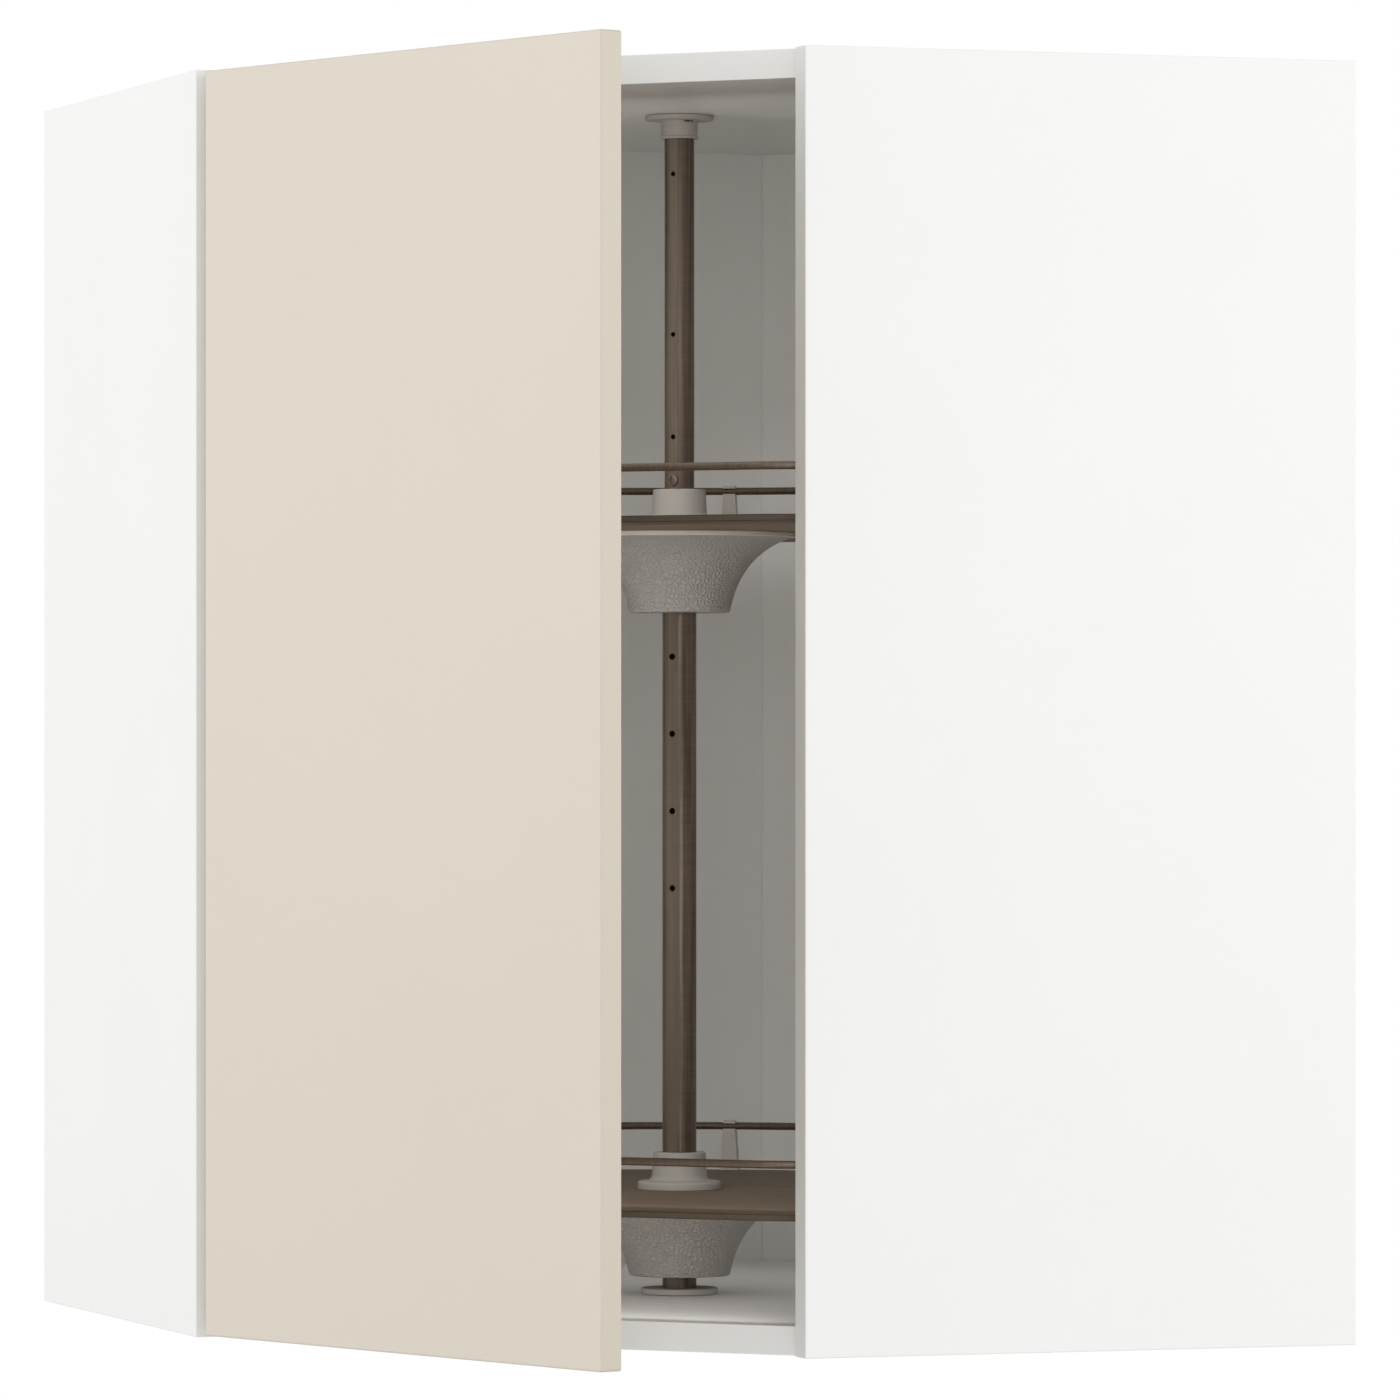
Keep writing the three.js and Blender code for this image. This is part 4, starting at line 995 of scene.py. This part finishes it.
# %% Tray plates
def tray_plate(name, place):
    """Each row lies between a hub circle and the outline: circle times 1 - s plus outline times s.
    The rows go out over the top, round the edge on a half circle, and back below."""
    outline = tray_outline(0)
    start = np.arctan2(outline[:, 1], outline[:, 0])
    hole = TRAY_HOLE * np.column_stack([np.cos(start), np.sin(start)])
    share = np.array([0, 0.12, 0.3, 0.55, 0.8, 0.94])
    edge = TRAY_THICKNESS / 2
    soft = 0.9
    inner = drawn_in(outline, soft)
    top = [hole * (1 - s) + inner * s for s in share]
    a = np.linspace(0, math.pi / 2, 6)
    bend = [(soft * (1 - math.sin(t)), edge - soft * (1 - math.cos(t))) for t in a]
    rows = [np.column_stack([row, np.full(len(row), edge)]) for row in top]
    rows += [
        np.column_stack([drawn_in(outline, inset), np.full(len(outline), z)]) for inset, z in bend
    ]
    rows = np.stack(rows)
    below = rows[::-1] * [1, 1, -1]
    grid = np.concatenate([rows, below]) - [0, 0, edge]
    return flat_faces(skin(name, grid, ring=True, place=place))


for level in TRAY_TOPS:
    tray = tray_plate(f"{level}_tray_sheet", tray_place(level))
    dress(tray, f"{level}_tray", "brown_tray", f"{level}_tray")
print("tray faces", len(tray.data.polygons))

# %% Rails
RAIL_RADIUS = 2.5
RAIL_INSET = 10
RAIL_RISE = 30


def rail(name, place):
    """A circle of the rail's radius carried along the outline: the line, plus the radius times
    cosine along the line's outward normal and sine upwards."""
    line = tray_outline(RAIL_INSET)
    outward = line - drawn_in(line, 1)
    angle = np.linspace(0, 2 * math.pi, 20, endpoint=False)
    out = RAIL_RADIUS * np.cos(angle)[None, :, None]
    up = RAIL_RADIUS * np.sin(angle)
    plan = line[:, None] + out * outward[:, None]
    height = np.broadcast_to(RAIL_RISE + up, (len(line), len(angle)))
    return skin(name, np.concatenate([plan, height[..., None]], -1), ring=True, place=place)


for level in TRAY_TOPS:
    wire = rail(f"{level}_rail_bent", tray_place(level))
    dress(wire, f"{level}_tray", "bronze", f"{level}_rail", finish=bronze_wire)
print("rail", round(2 * RAIL_RADIUS), "mm thick,", len(wire.data.polygons), "faces")

# %% [markdown]
# ## Hubs
#
# Each tray is clamped tight between two mouldings: a short sleeve on top, and below it a large
# bell that flares out to carry the sheet. The bell's flare is one sweep of a quadratic Bezier
# curve, which is steep at the foot and nearly level under the tray.

# %% Sleeves and bells
SLEEVE_HEIGHT = 24
SLEEVE_RADIUS = 17
SLEEVE_FLANGE = 27
BELL_HEIGHT = 51.6
BELL_RIM = 75
BELL_RIM_THICKNESS = 3.1
BELL_FOOT = 33


def sleeve_profile():
    shoulder = BUTT + 5.4
    corners = [
        [HUB_BORE, -SKIRT_FOOT], [SKIRT_RADIUS, -SKIRT_FOOT], [SKIRT_RADIUS, BUTT],
        [SLEEVE_FLANGE, BUTT], [SLEEVE_FLANGE, shoulder], [SLEEVE_RADIUS + 1, shoulder],
        [SLEEVE_RADIUS, SLEEVE_HEIGHT], [HUB_BORE, SLEEVE_HEIGHT],
    ]
    return eased(corners, [0.3, 0.4, 0.1, 0.4, 2.4, 4.2, 1.1, 0.6], 8)


def bell_profile():
    rim = -TRAY_THICKNESS - BUTT
    foot = rim - BELL_HEIGHT
    edge = rim - BELL_RIM_THICKNESS
    t = np.linspace(0, 1, 28)[:, None]
    start, bend = np.array([BELL_FOOT, foot + 1.6]), np.array([BELL_FOOT + 7, rim - 14])
    end = np.array([BELL_RIM - 2.6, edge])
    flare = (1 - t) ** 2 * start + 2 * t * (1 - t) * bend + t**2 * end
    pocket = -SKIRT_FOOT - 2 * SEAT - STOP_RING
    inside = [[TRAY_HOLE, rim], [TRAY_HOLE, pocket], [HUB_BORE, pocket], [HUB_BORE, foot]]
    toe = eased([[20, foot], [BELL_FOOT - 0.3, foot], [BELL_FOOT + 0.2, foot + 4]], [0, 1.5, 0], 6)
    inner = BELL_RIM - 0.4
    lip = [[inner, edge], [BELL_RIM, edge + 0.4], [BELL_RIM, rim - 0.4], [inner, rim]]
    return np.vstack([inside, toe[1:-1], flare[1:], lip])


for level in TRAY_TOPS:
    seat = tray_place(level)
    sleeve = turned(f"{level}_hub_sleeve_moulded", sleeve_profile(), ring=True, place=seat)
    dress(sleeve, f"{level}_tray", "grey_plastic", f"{level}_hub_sleeve")
    bell = turned(f"{level}_hub_bell_moulded", bell_profile(), 160, ring=True, place=seat)
    dress(bell, f"{level}_tray", "grey_plastic", f"{level}_hub_bell", finish=grained_plastic)
print("bell faces", len(bell.data.polygons))

# %% [markdown]
# ## Rail clips
#
# Six clips hold a rail above its tray. Seen along the rail, a clip is a narrow upright with a jaw
# that snaps round the rail from outside; across the rail it tapers towards the top. That side view
# is the outline here, and it is carried across the clip's width, which is narrower the higher it
# is.

# %% Clips
CLIP_DEPTH = 9
CLIP_FOOT = 11.5
CLIP_TOP_WIDTH = 7.5
CLIP_TOP = RAIL_RISE + RAIL_RADIUS + 1.1
CLIP_BEARINGS = (17.3, 75)  # degrees from straight back
CLIP_SIDE_Y = -100
MOUTH_SHARE = 0.72  # the half height of the jaw's mouth, as a share of the rail's radius
rail_side = TRAY_RADIUS - RAIL_INSET


def clip_side_view():
    """The outline of a clip seen along the rail: foot, outer face, top, the jaw as part of a
    circle round the rail, inner face."""
    half = CLIP_DEPTH / 2
    jaw = RAIL_RADIUS + SEAT
    lip = MOUTH_SHARE * RAIL_RADIUS
    mouth = math.asin(lip / jaw)
    a = np.linspace(math.pi - mouth, mouth - math.pi, 28)
    round_rail = np.column_stack([jaw * np.cos(a), RAIL_RISE + jaw * np.sin(a)])
    upper = [[-half, RAIL_RISE + lip]]
    lower = [[-half, RAIL_RISE - lip]]
    body = [
        [-half, 1.6], [-half - 1.5, 1.6], [-half - 1.5, SEAT], [half + 1.5, SEAT],
        [half + 1.5, 1.6], [half, 1.6], [half, CLIP_TOP], [-half, CLIP_TOP],
    ]
    return np.vstack([body, upper, round_rail, lower])


def rail_clip(name, place):
    """The side view carried across the width. The width shrinks with height from foot to top, and
    the last 0.5 mm at each side is drawn in to round the edges."""
    view = clip_side_view()
    width = CLIP_FOOT + (CLIP_TOP_WIDTH - CLIP_FOOT) * view[:, 1] / CLIP_TOP
    a = np.linspace(0, math.pi / 2, 4)
    soft = 0.25
    inset = soft * (1 - np.sin(a))
    short = soft * (1 - np.cos(a))
    rows = []
    for way, order in ((-1, slice(None)), (1, slice(None, None, -1))):
        for i, s in zip(inset[order], short[order]):
            line = drawn_in(view[::-1], i)[::-1]
            rows.append(np.column_stack([line[:, 0], way * (width / 2 - s), line[:, 1]]))
    return flat_faces(skin(name, np.stack(rows), place=place))


def clip_places():
    """Two pairs on the half circle behind, and one clip on each straight side."""
    turns = [90 + way * bearing for bearing in CLIP_BEARINGS for way in (-1, 1)]
    places = [(rail_side * math.cos(a), rail_side * math.sin(a), a) for a in np.radians(turns)]
    return places + [(-rail_side, CLIP_SIDE_Y, math.pi), (rail_side, CLIP_SIDE_Y, 0)]


for level in TRAY_TOPS:
    for i, (x, y, angle) in enumerate(clip_places(), 1):
        spot = tray_place(level) @ Matrix.Translation((x, y, 0)) @ Matrix.Rotation(angle, 4, "Z")
        clip = rail_clip(f"{level}_rail_clip_{i}_moulded", spot)
        dress(clip, f"{level}_tray", "grey_plastic", f"{level}_rail_clip_{i}", finish=pale_plastic)
print("clip", [round(1000 * v, 1) for v in clip.dimensions])

# %% [markdown]
# ## Studio
#
# The product stands before pure white. The white is only what the camera and the reflections see:
# the light on the cabinet comes from a softer grey sky, a large lamp on each side and a weak one
# near the camera, at a level where a colour renders about as it is written. The floor is some way
# below, as the cabinet hangs on a wall. It is pale and takes the soft shadow, and it fades to
# white towards its rim.

# %% World
SKY = 0.72
studio = bpy.data.worlds.new("studio")
studio.use_nodes = True
bpy.context.scene.world = studio
studio.node_tree.nodes.clear()
sky = Nodes(studio.node_tree)
WHITE_LIGHT = (1, 1, 1, 1)
kinds = ("Camera", "Glossy", "Transmission")
rays = [sky.node("LightPath", output=f"Is {kind} Ray") for kind in kinds]
seen = (rays[0] + rays[1] + rays[2]).held()
dim = sky.node("Background", {}, {"Color": WHITE_LIGHT, "Strength": SKY})
bright = sky.node("Background", {}, {"Color": WHITE_LIGHT, "Strength": 1.0})
sky.node("OutputWorld", {}, {"Surface": sky.node("MixShader", {}, {0: seen, 1: dim, 2: bright})})
print("sky strength", SKY)


# %% Lamps
def lamp(name, place, target, size, power):
    data = bpy.data.lights.new(name, "AREA")
    data.shape = "RECTANGLE"
    data.size, data.size_y = size
    data.energy = power
    made = bpy.data.objects.new(name, data)
    made.location = place
    made.rotation_euler = (Vector(target) - Vector(place)).to_track_quat("-Z", "Y").to_euler()
    bpy.context.scene.collection.objects.link(made)
    return made


MIDDLE = (0, 0, 0.4)
lamp("left lamp", (-4.0, 1.0, 1.2), MIDDLE, (2.5, 2.5), 41)
lamp("right lamp", (3.0, -3.2, 1.2), MIDDLE, (2.5, 2.5), 47)
lamp("near lamp", (-1.74, -4.9, 0.9), MIDDLE, (1.5, 1.5), 26)

# %% [markdown]
# Inside a white cabinet the light bounces from board to board many times. A render follows only
# the first few bounces, so weak fill lamps stand in for the rest: one upright pane behind the
# front rail in each bay, a low one at the lower hub, and one under the lower tray that faces down.
# Each has a radiance L, and a pane of area A gives L times A times pi watts. Neither the camera
# nor a reflection sees them.


# %% Fill lamps inside
def pane(name, middle, target, size, radiance):
    """A lamp in the doorway. Its middle and its target are measured along the shut door, inward,
    and up, and its edges lie square to the shut door too, so that it never reaches through it."""
    place = front_place @ Vector(middle) / 1000
    aim = front_place @ Vector(target) / 1000
    made = lamp(name, place, aim, size, radiance * size[0] * size[1] * math.pi)
    level = (Vector(target) - Vector(middle)).to_track_quat("-Z", "Y")
    made.rotation_euler = (front_place.to_quaternion() @ level).to_euler()
    made.visible_camera = False
    made.visible_glossy = False


BAYS = {  # from and to what height, how far inside, how much lower it aims, radiance
    "lower": (32, 76, 36, 0, 1.65),
    "hub": (94, 112, 60, 0, 1.2),
    "middle": (142, 490, 46, 40, 0.97),
    "upper": (560, 684, 46, 190, 2.45),
}
for bay, (low, high, inside, drop, radiance) in BAYS.items():
    level = (low + high) / 2
    size = (0.36, (high - low) / 1000)
    pane(f"{bay} bay lamp", (205, inside, level), (205, 500, level - drop), size, radiance)
pane("floor lamp", (205, 262, 77), (205, 262, 0), (0.36, 0.48), 0.28)

# %% Floor
FLOOR_LEVEL = -350
FLOOR_RADIUS = 3300
FLOOR_THICKNESS = 5
FADE_START, FADE_LENGTH = 1.0, 1.8  # metres from the post
ring_radii = np.linspace(10, FLOOR_RADIUS, 12)
angle = np.linspace(0, 2 * math.pi, 96, endpoint=False)
floor_grid = np.stack([
    np.outer(ring_radii, np.cos(angle)), np.outer(ring_radii, np.sin(angle)),
    np.full((len(ring_radii), len(angle)), float(FLOOR_LEVEL)),
], -1)
under = floor_grid[::-1] - [0, 0, FLOOR_THICKNESS]
floor = skin("floor", np.concatenate([floor_grid, under]), ring=False)
ground = Finish("pale_floor", {"Roughness": 0.9, "Base Color": (0.76, 0.76, 0.76, 1)})
away = ground.vector("LENGTH", ground.place(), output="Value")
fade = ((away - FADE_START) / FADE_LENGTH).held()
glow = ground.node("Emission", {}, {"Color": WHITE_LIGHT, "Strength": 1.0})
seen = ground.node("LightPath", output="Is Camera Ray") * fade
blend = {0: seen, 1: Wire(ground.tree, ground.shader.outputs[0]), 2: glow}
mixed = ground.node("MixShader", {}, blend)
output = ground.tree.nodes["Material Output"]
ground.tree.links.new(mixed.socket, output.inputs["Surface"])
floor.data.materials.append(ground.material)
floor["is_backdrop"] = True
print("floor", FLOOR_LEVEL, "mm")

# %% [markdown]
# ## Check of size
#
# The dressed cabinet must stay the size of the CAD model, so the growth of its box over the CAD
# box is printed.

# %% Finish
bpy.context.scene.view_settings.view_transform = "Standard"
low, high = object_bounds()
growth = np.subtract((*low, *high), (*cad_low, *cad_high))
print("growth in mm", (1000 * growth).round(2).tolist())
